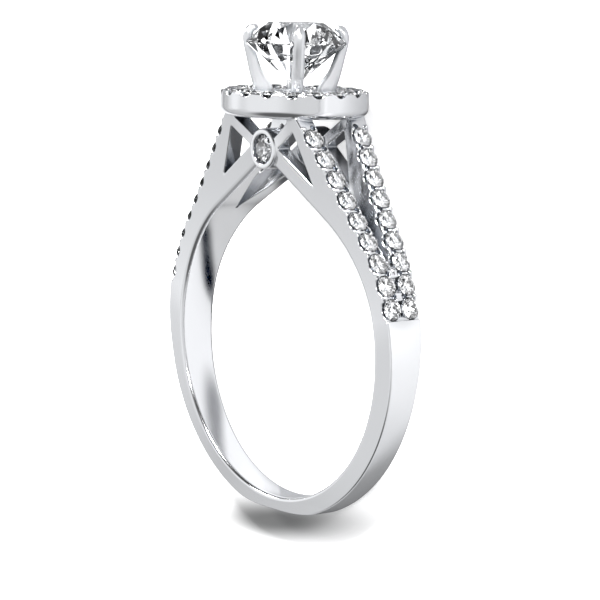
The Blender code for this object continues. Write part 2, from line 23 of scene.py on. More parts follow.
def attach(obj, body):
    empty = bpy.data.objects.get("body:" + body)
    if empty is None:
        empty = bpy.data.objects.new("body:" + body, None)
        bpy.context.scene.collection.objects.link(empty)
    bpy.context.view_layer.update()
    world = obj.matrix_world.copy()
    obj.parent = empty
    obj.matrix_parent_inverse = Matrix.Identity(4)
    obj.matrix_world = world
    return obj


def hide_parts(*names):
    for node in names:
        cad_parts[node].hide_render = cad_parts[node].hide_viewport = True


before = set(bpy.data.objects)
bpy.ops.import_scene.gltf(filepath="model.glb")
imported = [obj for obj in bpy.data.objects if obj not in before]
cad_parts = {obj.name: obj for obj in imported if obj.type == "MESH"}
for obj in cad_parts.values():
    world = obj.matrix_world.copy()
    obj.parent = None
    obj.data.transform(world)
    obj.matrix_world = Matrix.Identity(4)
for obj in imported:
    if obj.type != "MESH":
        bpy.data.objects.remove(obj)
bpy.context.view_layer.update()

MM = 0.001
LOG = logging.getLogger("halo_ring")
Array = np.ndarray
Triple = tuple[float, float, float]
Room = tuple[Triple, Triple]

# The cone of a small stone's seat, as the sine and cosine of its slope.
SMALL_CONE_ACROSS = 0.652
SMALL_CONE_DOWN = 0.758

# Radii in millimetres: the edge of a fine cut, and the edge that polishing leaves.
CUT_EDGE = 0.03
SOFT_EDGE = 0.05


class Places(NamedTuple):
    """Points that a field is asked about, in millimetres, with the ring standing up."""

    x: Array
    y: Array
    z: Array

    def only(self, chosen: Array) -> "Places":
        """The chosen points alone."""
        return Places(self.x[chosen], self.y[chosen], self.z[chosen])


Field = Callable[[Places], Array]


class Shoulder(Enum):
    """Side of the ring, as the sign of its X."""

    RIGHT = 1.0
    LEFT = -1.0


class Wall(Enum):
    """Gallery wall, as the sign of its Y."""

    FRONT = -1.0
    BACK = 1.0


def round_max(one: Array, two: Array, radius: float) -> Array:
    """Keep what two fields share, with a rounded edge where they meet.

    Args:
        one: First field.
        two: Second field.
        radius: Radius of the edge in millimetres.

    Returns:
        The field of the shared body.
    """
    corner = np.hypot(np.maximum(one + radius, 0.0), np.maximum(two + radius, 0.0))
    return np.minimum(np.maximum(one, two), -radius) + corner


def round_min(one: Array, two: Array, radius: float) -> Array:
    """Join two fields, with a fillet of the given radius where they meet."""
    return -round_max(-one, -two, radius)


def share_of(value: Array) -> Array:
    """The value kept between zero and one."""
    return np.clip(value, 0.0, 1.0)


def smooth(value: Array) -> Array:
    """The value kept between zero and one, with a soft start and end."""
    share = share_of(value)
    return share * share * (3.0 - 2.0 * share)


def ball(one: Array, two: Array, three: Array, radius: float) -> Array:
    """Field of a ball, from the three distances to its centre."""
    return np.sqrt(one**2 + two**2 + three**2) - radius


def small_seat(around: Array, height: Array, reach: float, tip: float) -> Array:
    """Field of a small stone's seat: a round wall over a cone with its tip at a depth."""
    return np.maximum(around - reach, around * SMALL_CONE_ACROSS - (height + tip) * SMALL_CONE_DOWN)


def arch(at: Places, rise: float, angle: float) -> Array:
    """Distance from a centre on the ring's axis, measured to a circle with a tangent line.

    Args:
        at: The points.
        rise: Height of the centre.
        angle: Angle from straight up where the circle turns into its tangent line.

    Returns:
        The distance from the centre that the circle or the line has at each point.
    """
    sine, cosine = math.sin(angle), math.cos(angle)
    high = at.z - rise
    line = at.x * sine + high * cosine
    return np.where(at.x * cosine < high * sine, line, np.hypot(at.x, high))


@dataclass(frozen=True)
class RestPose:
    """How the standing ring is laid on the floor, as the solids of the frame are."""

    lean: float = 0.131184
    shift_y: float = -4.13731
    shift_z: float = 2.322833

    def matrix(self) -> Matrix:
        """Matrix from the standing ring in millimetres to the row frame in metres.

        Returns:
            The matrix.
        """
        turn = Matrix.Rotation(math.radians(-90.0) + self.lean, 4, "X")
        move = Matrix.Translation((0.0, self.shift_y * MM, self.shift_z * MM))
        return move @ turn @ Matrix.Scale(MM, 4)


@dataclass(frozen=True)
class Shank:
    """Band, shoulders and the gap that splits them."""

    finger_radius: float = 8.65
    arch_angle: float = math.radians(33.5)
    outer_radius: float = 10.0
    outer_rise: float = 0.27
    foot: float = 9.45
    foot_round: float = 0.35
    half_width_foot: float = 0.93
    half_width_side: float = 1.17
    side_lean: float = 0.20
    lean_from: float = -2.0
    lean_span: float = 5.2
    inner_edge: float = 0.24
    outer_edge: float = 0.09
    ledge_angle: float = math.radians(76.0)
    ledge_step: float = 0.12
    ledge_height: float = 2.434
    ledge_edge: float = 0.05
    ledge_fillet: float = 0.03
    line_angle: float = math.radians(53.8)
    top: float = 12.80
    wall_at_ledge: float = 1.17
    wall_at_halo: float = 2.42
    wall_flare: float = 1.6
    full_flare_x: float = 2.56
    halo_bottom: float = 12.58
    bezel_height: float = 10.80
    rail_width: float = 1.12
    groove_angle: float = math.radians(62.0)
    groove_taper: float = math.radians(7.0)
    slot_angle: float = math.radians(35.5)
    slot_half: float = 1.15
    slot_rate: float = 1.45
    gap_floor_half: float = 0.04
    gap_floor_grade: float = 0.7
    least_gap_depth: float = 0.15
    edge: float = 0.06

    @property
    def rail_radius(self) -> float:
        """Radius of the rails about the raised centre of the outer circle."""
        return self.outer_radius - self.ledge_step

    def rail_outside(self, at: Places) -> Array:
        """Distance outside the rails' outer surface, a circle and its tangent line."""
        return arch(at, self.outer_rise, self.line_angle) - self.rail_radius

    def outside(self, at: Places) -> Array:
        """Distance outside the shank seen from the front, where the band stands proud of the rails.

        Args:
            at: The points.

        Returns:
            The distance, negative inside.
        """
        above_ledge = at.z * math.sin(self.ledge_angle) - at.x * math.cos(self.ledge_angle)
        band = np.hypot(at.x, at.z - self.outer_rise) - self.outer_radius
        band = round_max(band, above_ledge, self.ledge_edge)
        core = round_min(self.rail_outside(at), band, self.ledge_fillet)
        core = round_max(core, -at.z - self.foot, self.foot_round)
        return np.maximum(core, at.z - self.top)

    def band_half(self, z: Array) -> Array:
        """Half the band's inside width, widest at the sides."""
        rise = share_of((z + self.finger_radius) / self.finger_radius)
        return self.half_width_foot + (self.half_width_side - self.half_width_foot) * rise

    def wall_half(self, z: Array) -> Array:
        """Half the distance between the walls' outer faces at a height."""
        share = np.clip((z - self.ledge_height) / (self.halo_bottom - self.ledge_height), 0.0, 1.1)
        return self.wall_at_ledge + (self.wall_at_halo - self.wall_at_ledge) * share**self.wall_flare

    def face_height(self, at: Places) -> Array:
        """Height that sets the wall's width: it stops flaring between the rails."""
        above_bezel = np.maximum(0.0, at.z - self.bezel_height)
        return np.minimum(at.z, self.bezel_height + above_bezel * smooth(at.x / self.full_flare_x))

    def half(self, at: Places) -> Array:
        """Half the shank's width, which leans in towards the outside of the band.

        Args:
            at: The points.

        Returns:
            The half width at each point.
        """
        thickness = self.outer_radius - self.finger_radius
        depth = share_of((np.hypot(at.x, at.z) - self.finger_radius) / thickness)
        lean = self.side_lean * (1.0 - smooth((at.z - self.lean_from) / self.lean_span))
        wall = self.wall_half(self.face_height(at))
        return wall + self.band_half(at.z) - self.half_width_side - lean * depth

    def gap(self, at: Places) -> Array:
        """Field of the gap between the front and back walls.

        Between the groove's end and the slot's end the gap has a floor, which falls from
        the outer surface to the finger hole. Above that it is open to the finger. The
        limits on the angles keep the cosines well away from zero.

        Args:
            at: The points.

        Returns:
            The field, negative in the gap.
        """
        angle = np.arctan2(at.x, at.z)
        radius = np.hypot(at.x, at.z)
        inner = self.finger_radius / np.cos(np.minimum(0.0, angle - self.arch_angle))
        line = self.rail_radius + self.outer_rise * math.cos(self.line_angle)
        turned = np.cos(np.clip(angle - self.line_angle, -1.2, 0.0))
        outer = np.minimum(line / turned, self.top / np.maximum(np.cos(np.minimum(angle, 1.4)), 0.1))
        past = share_of((angle - self.slot_angle) / (self.groove_angle - self.slot_angle))
        floor = inner + (outer - inner) * past
        opened = np.minimum(1.0, self.slot_rate * share_of(1.0 - angle / self.slot_angle))
        low = np.maximum(self.gap_floor_half, self.slot_half * opened)
        close = share_of((self.groove_angle - angle) / self.groove_taper)
        wall = self.wall_half(outer * np.cos(angle))
        high = np.maximum(self.gap_floor_half, (wall - self.rail_width) * close)
        slope = (high - low) / np.maximum(outer - floor, self.least_gap_depth)
        below = np.where(angle > self.slot_angle, floor - radius, -1.0)
        gap = np.maximum(at.y - low - slope * (radius - floor), below * self.gap_floor_grade)
        return np.where(angle > self.groove_angle, 1.0, gap)

    def field(self, at: Places) -> Array:
        """Field of the split shank before its walls are pierced.

        Args:
            at: The points.

        Returns:
            The field, negative in metal.
        """
        hole = arch(at, 0.0, self.arch_angle) - self.finger_radius
        body = round_max(-hole, at.y - self.half(at), self.inner_edge)
        body = round_max(body, self.outside(at), self.outer_edge)
        return round_max(body, -self.gap(at), self.edge)


class FrontLine(NamedTuple):
    """Straight line of the front view: its normal's angle from straight up, and its distance."""

    angle: float
    distance: float

    def beyond(self, at: Places) -> Array:
        """How far points lie beyond the line."""
        return at.x * math.sin(self.angle) + at.z * math.cos(self.angle) - self.distance

    def meet(self, other: "FrontLine") -> tuple[float, float]:
        """Crossing with another line, as X and Z.

        Args:
            other: The other line.

        Returns:
            The crossing's X and Z.
        """
        sines = math.sin(self.angle), math.sin(other.angle)
        cosines = math.cos(self.angle), math.cos(other.angle)
        turn = sines[0] * cosines[1] - cosines[0] * sines[1]
        x = (self.distance * cosines[1] - other.distance * cosines[0]) / turn
        z = (other.distance * sines[0] - self.distance * sines[1]) / turn
        return x, z


@dataclass(frozen=True)
class Gallery:
    """Trellis openings in the walls, and the bezel tubes where the legs cross."""

    shank: Shank
    lower_leg: float = 1.12
    upper_leg: float = 0.66
    upper_drop: float = 0.60
    rail_depth_foot: float = 1.58
    rail_depth_halo: float = 0.92
    corner: float = 0.08
    notch_corner: float = 0.10
    edge: float = 0.07
    bezel_radius: float = 1.13
    bezel_proud: float = 0.12
    bezel_depth: float = 1.15
    bezel_edge: float = 0.12
    stone: float = 1.54
    stone_proud: float = 0.06
    seat_gap: float = 0.03
    lip_depth: float = 0.10
    cup_depth: float = 0.22
    cone_start: float = 0.18
    cone_slope: float = 0.9
    cone_scale: float = 0.75
    throat: float = 0.42
    throat_depth: float = 3.0

    @property
    def bezel_face(self) -> float:
        """Distance of a bezel's rim from the ring's middle plane."""
        height = np.array([self.shank.bezel_height])
        return float(self.shank.wall_half(height)[0]) + self.bezel_proud

    def openings(self, at: Places) -> Array:
        """Distance outside the openings, seen from the front.

        Args:
            at: The points.

        Returns:
            The field, negative in an opening.
        """
        shank = self.shank
        axis = shank.bezel_height * math.cos(shank.arch_angle)
        low = FrontLine(shank.arch_angle, shank.finger_radius + self.lower_leg)
        under = FrontLine(-shank.arch_angle, axis - self.upper_drop)
        over = FrontLine(-shank.arch_angle, axis - self.upper_drop + self.upper_leg)
        outer = shank.outer_radius + shank.outer_rise * math.cos(shank.line_angle)
        foot = low.meet(FrontLine(shank.line_angle, outer - self.rail_depth_foot))
        rail_top = FrontLine(shank.line_angle, outer - self.rail_depth_halo)
        head = under.meet(rail_top)
        slope = math.atan2(foot[1] - head[1], foot[0] - head[0]) + math.pi / 2.0
        rail = math.sin(slope) * (at.z - head[1]) + math.cos(slope) * (at.x - head[0])
        side = round_max(-low.beyond(at), under.beyond(at), self.corner)
        side = round_max(side, rail, self.corner)
        middle = round_max(-over.beyond(at), at.x - over.meet(rail_top)[0], self.notch_corner)
        return np.minimum(side, middle)

    def bezel(self, at: Places) -> Array:
        """Field of the short tube at the crossing.

        Args:
            at: The points.

        Returns:
            The field, negative in the tube and in its bore.
        """
        around = np.hypot(at.x, at.z - self.shank.bezel_height)
        face = self.bezel_face
        tube = round_max(around - self.bezel_radius, at.y - face, self.bezel_edge)
        return np.maximum(tube, face - self.bezel_depth - at.y)

    def bezel_hole(self, at: Places) -> Array:
        """Field of the seat drilled through a bezel: a cup with a lip, a cone and a throat.

        Args:
            at: The points.

        Returns:
            The field, negative in the seat.
        """
        around = np.hypot(at.x, at.z - self.shank.bezel_height)
        depth = self.bezel_face - at.y
        reach = self.stone / 2.0 + self.seat_gap
        lip = self.seat_gap * share_of(1.0 - depth / self.lip_depth)
        cup = np.maximum(around - reach - lip, depth - self.cup_depth)
        cone = around - reach + np.maximum(depth - self.cone_start, 0.0) * self.cone_slope
        throat = np.maximum(around - self.throat, depth - self.throat_depth)
        return np.minimum(np.minimum(cup, cone * self.cone_scale), throat)


@dataclass(frozen=True)
class Halo:
    """Round plate under the centre stone, set with a ring of small stones."""

    bottom: float = 12.58
    height: float = 1.36
    radius: float = 4.07
    hole: float = 1.15
    lower_edge: float = 0.48
    edge: float = 0.07
    count: int = 18
    stone: float = 1.10
    stone_lift: float = 0.8
    rim: float = 0.12
    seat_gap: float = 0.015
    seat_depth: float = 0.58
    notch_radius: float = 0.36
    notch_height: float = 0.16
    bead_reach: tuple[float, float] = (0.36, -0.34)
    bead_radius: float = 0.085
    bead_height: float = 0.02

    @property
    def top(self) -> float:
        """Height of the plate's upper face."""
        return self.bottom + self.height

    @property
    def stone_radius(self) -> float:
        """Distance of the small stones from the head's axis."""
        return self.radius - self.rim - self.stone / 2.0

    def plate(self, at: Places) -> Array:
        """Field of the plate with its rounded lower edge.

        Args:
            at: The points.

        Returns:
            The field, negative in metal.
        """
        around = np.hypot(at.x, at.y)
        body = round_max(around - self.radius, self.bottom - at.z, self.lower_edge)
        body = round_max(body, at.z - self.top, self.edge)
        return round_max(body, self.hole - around, self.edge)

    def carve(self, metal: Array, at: Places) -> Array:
        """Cut the seats and raise the beads that hold the small stones.

        Args:
            metal: Field of the metal so far.
            at: The points.

        Returns:
            The field with the seats and the beads.
        """
        step = math.tau / self.count
        angle = np.arctan2(at.y, at.x)
        around = np.hypot(at.x, at.y)
        near = angle - np.round(angle / step) * step
        across = around * np.sin(near)
        off_centre = np.hypot(around * np.cos(near) - self.stone_radius, across)
        high = at.z - self.top
        seat = small_seat(off_centre, high, self.stone / 2.0 + self.seat_gap, self.seat_depth)
        notch = np.hypot(across, high - self.notch_height) - self.notch_radius
        metal = round_max(metal, -seat, CUT_EDGE)
        metal = round_max(metal, -np.maximum(notch, self.stone_radius - around), SOFT_EDGE)
        between = angle - (np.floor(angle / step) + 0.5) * step
        along = around * np.cos(between) - self.stone_radius
        across = around * np.sin(between)
        for reach in self.bead_reach:
            bead = ball(along - reach, across, high - self.bead_height, self.bead_radius)
            metal = round_min(metal, bead, CUT_EDGE)
        return metal


@dataclass(frozen=True)
class StoneRow:
    """The nine stones of a rail, counted from the ledge up."""

    shank: Shank
    stone: float = 1.14
    count: int = 9
    pitch: float = 1.29
    first: float = 0.62
    lift: float = 0.20
    reach: float = 1.1
    step_ahead: float = 0.1
    seat_gap: float = 0.012
    seat_depth: float = 0.74
    scallop_radius: float = 0.62
    scallop_height: float = 0.20
    pit_across: float = 0.30
    pit_depth: float = 0.30
    pit_radius: float = 0.17
    bead_across: float = 0.37
    bead_depth: float = 0.18
    bead_radius: float = 0.14
    bead_fillet: float = 0.04

    def rail_point(self, length: float) -> tuple[Vector, Vector]:
        """Point and outward direction in X and Z at a length from the ledge.

        Args:
            length: Length along the rail in millimetres.

        Returns:
            The point and the unit direction out of the rail.
        """
        shank = self.shank
        rise, radius, ledge = shank.outer_rise, shank.rail_radius, shank.ledge_angle
        reach = rise * math.cos(ledge) + math.sqrt(shank.outer_radius**2 - (rise * math.sin(ledge)) ** 2)
        reach -= shank.ledge_step
        start = math.atan2(reach * math.sin(ledge), reach * math.cos(ledge) - rise)
        arc = radius * (start - shank.line_angle)
        turn = max(start - length / radius, shank.line_angle)
        normal = Vector((math.sin(turn), math.cos(turn)))
        along = Vector((-math.cos(turn), math.sin(turn)))
        return Vector((0.0, rise)) + radius * normal + max(length - arc, 0.0) * along, normal

    def offset(self, height: float) -> float:
        """Distance of a stone's centre from the ring's middle plane."""
        return float(self.shank.wall_half(np.array([height]))[0]) - self.shank.rail_width / 2.0

    def place(self, number: int) -> Matrix:
        """Frame of a stone of the right back rail: along the rail, across it and out.

        Args:
            number: The stone's number from the ledge, from nought.

        Returns:
            The frame, with its origin in the middle of the stone's table.
        """
        length = self.first + self.pitch * number
        point, normal = self.rail_point(length)
        ahead = self.rail_point(length + self.step_ahead)[0]
        along = Vector((ahead.x - point.x, self.offset(ahead.y) - self.offset(point.y), ahead.y - point.y))
        out = Vector((normal.x, 0.0, normal.y))
        out = (out - out.project(along)).normalized()
        along.normalize()
        matrix = Matrix((along, out.cross(along), out)).transposed().to_4x4()
        matrix.translation = Vector((point.x, self.offset(point.y), point.y)) + self.lift * out
        return matrix

    def carve(self, metal: Array, at: Places) -> Array:
        """Cut each stone's seat and scallop, and raise the beads beside it.

        Args:
            metal: Field of the metal so far, changed in place.
            at: The points.

        Returns:
            The field with the seats and the beads.
        """
        for number in range(self.count):
            frame_of_stone = self.place(number)
            centre = frame_of_stone.translation
            gaps = Places(at.x - centre.x, at.y - centre.y, at.z - centre.z)
            close = (abs(gaps.x) < self.reach) & (abs(gaps.y) < self.reach) & (abs(gaps.z) < self.reach)
            if close.any():
                turn = np.array(frame_of_stone.to_3x3()).T
                own = Places(*(turn @ np.stack(gaps.only(close))))
                metal[close] = self.carve_one(metal[close], own, number)
        return metal

    def carve_one(self, metal: Array, own: Places, number: int) -> Array:
        """Cut one seat in the stone's own frame.

        Args:
            metal: Field of the metal near the stone.
            own: The points along the rail, across it towards the outer face, and out of it.
            number: The stone's number from the ledge.

        Returns:
            The field with this seat and its beads.
        """
        along, across, out = own
        reach = self.stone / 2.0 + self.seat_gap
        seat = small_seat(np.hypot(along, across), out, reach, self.seat_depth)
        metal = round_max(metal, -seat, CUT_EDGE)
        scallop = np.hypot(along, out - self.scallop_height) - self.scallop_radius
        metal = round_max(metal, -scallop, SOFT_EDGE)
        for end in (1.0, -1.0) if number else (1.0,):
            step = along - end * self.pitch / 2.0
            pit = ball(step, across - self.pit_across, out + self.pit_depth, self.pit_radius)
            metal = round_max(metal, -pit, CUT_EDGE)
            bead = ball(step, across + self.bead_across, out + self.bead_depth, self.bead_radius)
            metal = round_min(metal, bead, self.bead_fillet)
        return metal


@dataclass(frozen=True)
class CentreStone:
    """Size and height of the centre stone, with its crown's height as a share of its width."""

    diameter: float = 5.42
    girdle_height: float = 16.5583
    crown: float = 0.19


@dataclass(frozen=True)
class Claws:
    """Four claws that rise from the halo and hook over the centre stone."""

    halo: Halo
    stone: CentreStone
    count: int = 4
    turn: float = math.radians(55.5)
    half_width: float = 0.33
    tip_narrowing: float = 0.10
    tip_from: float = 0.45
    tip_span: float = 0.4
    foot_half: float = 0.50
    tip_half: float = 0.27
    edge: float = 0.27
    stone_gap: float = 0.02
    girdle_half: float = 0.07
    crown_slope: tuple[float, float] = (0.757, 0.654)
    pavilion_slope: tuple[float, float] = (0.755, 0.656)

    def room(self) -> Room:
        """Box round a claw that stands on the X axis."""
        low = (1.0, -0.6, self.halo.top - 0.6)
        return low, (3.3, 0.6, self.stone.girdle_height + 1.2)

    def spine(self) -> list[Triple]:
        """Middle line of a claw, smoothed through its knots.

        Returns:
            Distance from the axis, height and half thickness of each point.
        """
        knots = [Vector(knot) for knot in self.knots()]
        knots = [2.0 * knots[0] - knots[1]] + knots + [2.0 * knots[-1] - knots[-2]]
        line = []
        for before, start, end, after in zip(knots, knots[1:], knots[2:], knots[3:]):
            for i in range(5):
                t = i / 5.0
                square = 2.0 * before - 5.0 * start + 4.0 * end - after
                cube = 3.0 * start - before - 3.0 * end + after
                line.append(0.5 * (2.0 * start + (end - before) * t + square * t**2 + cube * t**3))
        line.append(knots[-2])
        return [tuple(point) for point in line]

    def knots(self) -> list[Triple]:
        """Points that a claw's middle line passes through.

        Returns:
            Distance from the axis, height and half thickness of each point.
        """
        foot = self.halo.top
        girdle = self.stone.girdle_height
        rise = girdle - foot
        return [
            (1.72, foot - 0.30, self.foot_half),
            (1.76, foot + 0.05 * rise, self.foot_half),
            (2.14, foot + 0.36 * rise, 0.37),
            (2.43, foot + 0.72 * rise, 0.30),
            (2.60, girdle - 0.05, 0.285),
            (2.63, girdle + 0.42, self.tip_half),
            (2.50, girdle + 0.72, 0.24),
            (2.28, girdle + 0.80, 0.20),
        ]

    def field(self, at: Places) -> Array:
        """Field of one claw that stands on the X axis.

        Args:
            at: The points.

        Returns:
            The field, negative in metal.
        """
        best = np.full_like(at.x, 9.0)
        spine = self.spine()
        for (x0, z0, half0), (x1, z1, half1) in zip(spine, spine[1:]):
            dx, dz = x1 - x0, z1 - z0
            share = share_of(((at.x - x0) * dx + (at.z - z0) * dz) / (dx * dx + dz * dz))
            off_line = np.hypot(at.x - x0 - share * dx, at.z - z0 - share * dz)
            best = np.minimum(best, off_line - (half0 + share * (half1 - half0)))
        tip = share_of((at.z - self.stone.girdle_height - self.tip_from) / self.tip_span)
        width = self.half_width - self.tip_narrowing * tip**2
        claw = round_max(best, abs(at.y) - width, self.edge)
        return round_max(claw, -self.stone_field(at), CUT_EDGE)

    def stone_field(self, at: Places) -> Array:
        """Field of the room that the centre stone takes, a little larger than the stone.

        Args:
            at: The points.

        Returns:
            The field, negative in the room.
        """
        out = np.hypot(at.x, at.y) - self.stone.diameter / 2.0
        high = at.z - self.stone.girdle_height
        crown = (high - self.girdle_half) * self.crown_slope[0] + out * self.crown_slope[1]
        pavilion = -(high + self.girdle_half) * self.pavilion_slope[0] + out * self.pavilion_slope[1]
        return np.maximum(np.maximum(crown, pavilion), out) - self.stone_gap


@dataclass(frozen=True)
class SurfaceData:
    """Points, four-sided faces and outward directions of a meshed surface."""

    points: Array
    faces: Array
    normals: Array

    def mirrored(self, sign_x: float, sign_y: float) -> "SurfaceData":
        """Mirror the surface in the ring's planes and keep its faces pointing out.

        Args:
            sign_x: Minus one to mirror X, else one.
            sign_y: Minus one to mirror Y, else one.

        Returns:
            The mirrored surface.
        """
        signs = np.array([sign_x, sign_y, 1.0])
        faces = self.faces if sign_x * sign_y > 0.0 else self.faces[:, ::-1]
        return SurfaceData(self.points * signs, faces, self.normals * signs)


@dataclass(frozen=True)
class LevelMesher:
    """Turns a level field into an even mesh that lies on its zero surface."""

    cell: float = 0.06
    passes: int = 3
    layers: int = 12
    probe: float = 0.2
    longest_push: float = 0.6
    least_slope: float = 0.2

    def sample(self, level: Field, axes: list[Array]) -> Array:
        """Evaluate a field on a grid, a few layers at a time.

        Args:
            level: The field.
            axes: Places of the grid along X, Y and Z.

        Returns:
            The values on the grid.
        """
        rows = []
        for start in range(0, len(axes[0]), self.layers):
            grid = np.meshgrid(axes[0][start : start + self.layers], axes[1], axes[2], indexing="ij")
            flat = Places(*(part.ravel() for part in grid))
            rows.append(level(flat).reshape(grid[0].shape))
        return np.concatenate(rows)

    def slope(self, level: Field, points: Array) -> Array:
        """Gradient of a field at points, by central differences.

        Args:
            level: The field.
            points: One row for each point.

        Returns:
            One row of three slopes for each point.
        """
        step = self.probe * self.cell
        parts = []
        for axis in range(3):
            shift = np.zeros(3)
            shift[axis] = step
            rise = level(Places(*(points + shift).T)) - level(Places(*(points - shift).T))
            parts.append(rise / (2.0 * step))
        return np.stack(parts, axis=1)

    def settle(self, level: Field, points: Array, fixed: Array) -> Array:
        """Move points onto the zero surface and keep those on a mirror plane there.

        Args:
            level: The field.
            points: One row for each point.
            fixed: Which of their coordinates stay zero.

        Returns:
            The moved points.
        """
        limit = self.longest_push * self.cell
        for _ in range(self.passes):
            slope = self.slope(level, points)
            size = np.maximum(np.linalg.norm(slope, axis=1), self.least_slope)
            push = np.clip(level(Places(*points.T)) / size, -limit, limit)
            points = points - (push / size)[:, None] * slope
            points[fixed] = 0.0
        return points

    def mesh(self, level: Field, room: Room, mirror: bool) -> SurfaceData:
        """Mesh a field inside a box.

        Args:
            level: The field, in millimetres.
            room: Lowest and highest corner of the box.
            mirror: Whether the surface starts on the planes where X and Y are zero.

        Returns:
            The meshed surface.
        """
        start, end = (np.array(corner, dtype=float) for corner in room)
        if mirror:
            start[:2] = -0.5 * self.cell
        counts = np.ceil((end - start) / self.cell).astype(int) + 1
        axes = [start[i] + self.cell * np.arange(counts[i]) for i in range(3)]
        values = self.sample(level, axes)
        inside = values < 0.0
        shape = tuple(n - 1 for n in values.shape)
        corners = np.zeros(shape, dtype=np.int8)
        for dx, dy, dz in np.ndindex(2, 2, 2):
            corners += inside[dx : dx + shape[0], dy : dy + shape[1], dz : dz + shape[2]]
        mixed = (corners > 0) & (corners < 8)
        cells = np.argwhere(mixed)
        index = np.full(shape, -1, dtype=np.int64)
        index[mixed] = np.arange(len(cells))
        points = start + self.cell * self.crossings(values, cells)
        faces = self.quads(inside, index)
        fixed = np.zeros(points.shape, dtype=bool)
        if mirror:
            fixed[:, :2] = cells[:, :2] == 0
            points[fixed] = 0.0
        points = self.settle(level, points, fixed)
        points = self.relax(points, faces, fixed)
        points = self.settle(level, points, fixed)
        normals = self.slope(level, points)
        normals[fixed] = 0.0
        normals /= np.maximum(np.linalg.norm(normals, axis=1), 1e-9)[:, None]
        return SurfaceData(points, faces, normals)

    @staticmethod
    def crossings(values: Array, cells: Array) -> Array:
        """Mean of the places where the surface crosses the edges of each cell.

        Args:
            values: The field on the grid.
            cells: Grid number of each cell that the surface crosses.

        Returns:
            One point for each cell, in grid steps.
        """
        total = np.zeros(cells.shape)
        hits = np.zeros(len(cells))
        for axis in range(3):
            others = [i for i in range(3) if i != axis]
            for one, two in np.ndindex(2, 2):
                base = np.zeros(3, dtype=int)
                base[others[0]], base[others[1]] = one, two
                ahead = base.copy()
                ahead[axis] = 1
                start = values[tuple((cells + base).T)]
                end = values[tuple((cells + ahead).T)]
                cross = (start < 0.0) != (end < 0.0)
                share = start[cross] / (start[cross] - end[cross])
                spot = (cells[cross] + base).astype(float)
                spot[:, axis] += share
                total[cross] += spot
                hits[cross] += 1.0
        return total / hits[:, None]

    @staticmethod
    def quads(inside: Array, index: Array) -> Array:
        """Four-sided faces, one round each grid edge that the surface crosses.

        Args:
            inside: Which grid points lie in the body.
            index: Number of the point that each cell holds, or minus one.

        Returns:
            One row of four point numbers for each face.
        """
        faces = []
        limit = index.shape
        for axis in range(3):
            second, third = (axis + 1) % 3, (axis + 2) % 3
            change = np.diff(inside.astype(np.int8), axis=axis)
            edges = np.argwhere(change != 0)
            good = (edges[:, second] > 0) & (edges[:, third] > 0)
            good &= (edges[:, second] < limit[second]) & (edges[:, third] < limit[third])
            edges = edges[good]
            outward = change[tuple(edges.T)] < 0
            loop = []
            for back_two, back_three in ((1, 1), (0, 1), (0, 0), (1, 0)):
                cell = edges.copy()
                cell[:, second] -= back_two
                cell[:, third] -= back_three
                loop.append(index[tuple(cell.T)])
            quad = np.stack(loop, axis=1)
            quad[~outward] = quad[~outward][:, ::-1]
            faces.append(quad)
        return np.concatenate(faces)

    @staticmethod
    def relax(points: Array, faces: Array, fixed: Array) -> Array:
        """Even out the mesh by moving each point towards its neighbours.

        Args:
            points: One row for each point.
            faces: One row of four point numbers for each face.
            fixed: Which of the points' coordinates stay zero.

        Returns:
            The moved points.
        """
        one = faces.ravel()
        two = np.roll(faces, -1, axis=1).ravel()
        count = np.bincount(one, minlength=len(points)) + np.bincount(two, minlength=len(points))
        mean = np.zeros_like(points)
        for axis in range(3):
            mean[:, axis] += np.bincount(one, weights=points[two, axis], minlength=len(points))
            mean[:, axis] += np.bincount(two, weights=points[one, axis], minlength=len(points))
        mean /= np.maximum(count, 1)[:, None]
        moved = points + 0.5 * (mean - points)
        moved[fixed] = 0.0
        return moved


@dataclass(frozen=True)
class MetalBody:
    """All the soldered metal of a quarter of the ring."""

    shank: Shank
    gallery: Gallery
    halo: Halo
    row: StoneRow
    plate_fillet: float = 0.08
    upper_from: float = 1.0

    def room(self) -> Room:
        """Box round a quarter of the metal."""
        low = (0.0, 0.0, -self.shank.foot - 0.15)
        return low, (self.shank.outer_radius + 0.2, self.halo.radius + 0.2, self.halo.top + 0.4)

    def field(self, at: Places) -> Array:
        """Field of the metal, the same in all four quarters.

        Args:
            at: The points.

        Returns:
            The field, negative in metal.
        """
        at = Places(abs(at.x), abs(at.y), at.z)
        metal = self.shank.field(at)
        upper = at.z > self.upper_from
        if upper.any():
            metal[upper] = self.upper_field(metal[upper], at.only(upper))
        return metal

    def upper_field(self, metal: Array, at: Places) -> Array:
        """Pierce the walls, add the bezels and the halo, and cut the seats.

        Args:
            metal: Field of the split shank.
            at: The points.

        Returns:
            The field of all the metal.
        """
        gallery = self.gallery
        metal = round_max(metal, -gallery.openings(at), gallery.edge)
        metal = round_min(metal, gallery.bezel(at), SOFT_EDGE)
        metal = round_max(metal, -gallery.bezel_hole(at), SOFT_EDGE)
        metal = round_min(metal, self.halo.plate(at), self.plate_fillet)
        metal = self.halo.carve(metal, at)
        return self.row.carve(metal, at)


def link_object(name: str, data: ID) -> Object:
    """Make an object of a mesh, a light or a camera and link it to the scene.

    Args:
        name: Name of the object.
        data: What it shows.

    Returns:
        The linked object.
    """
    thing = bpy.data.objects.new(name, data)
    bpy.context.scene.collection.objects.link(thing)
    return thing


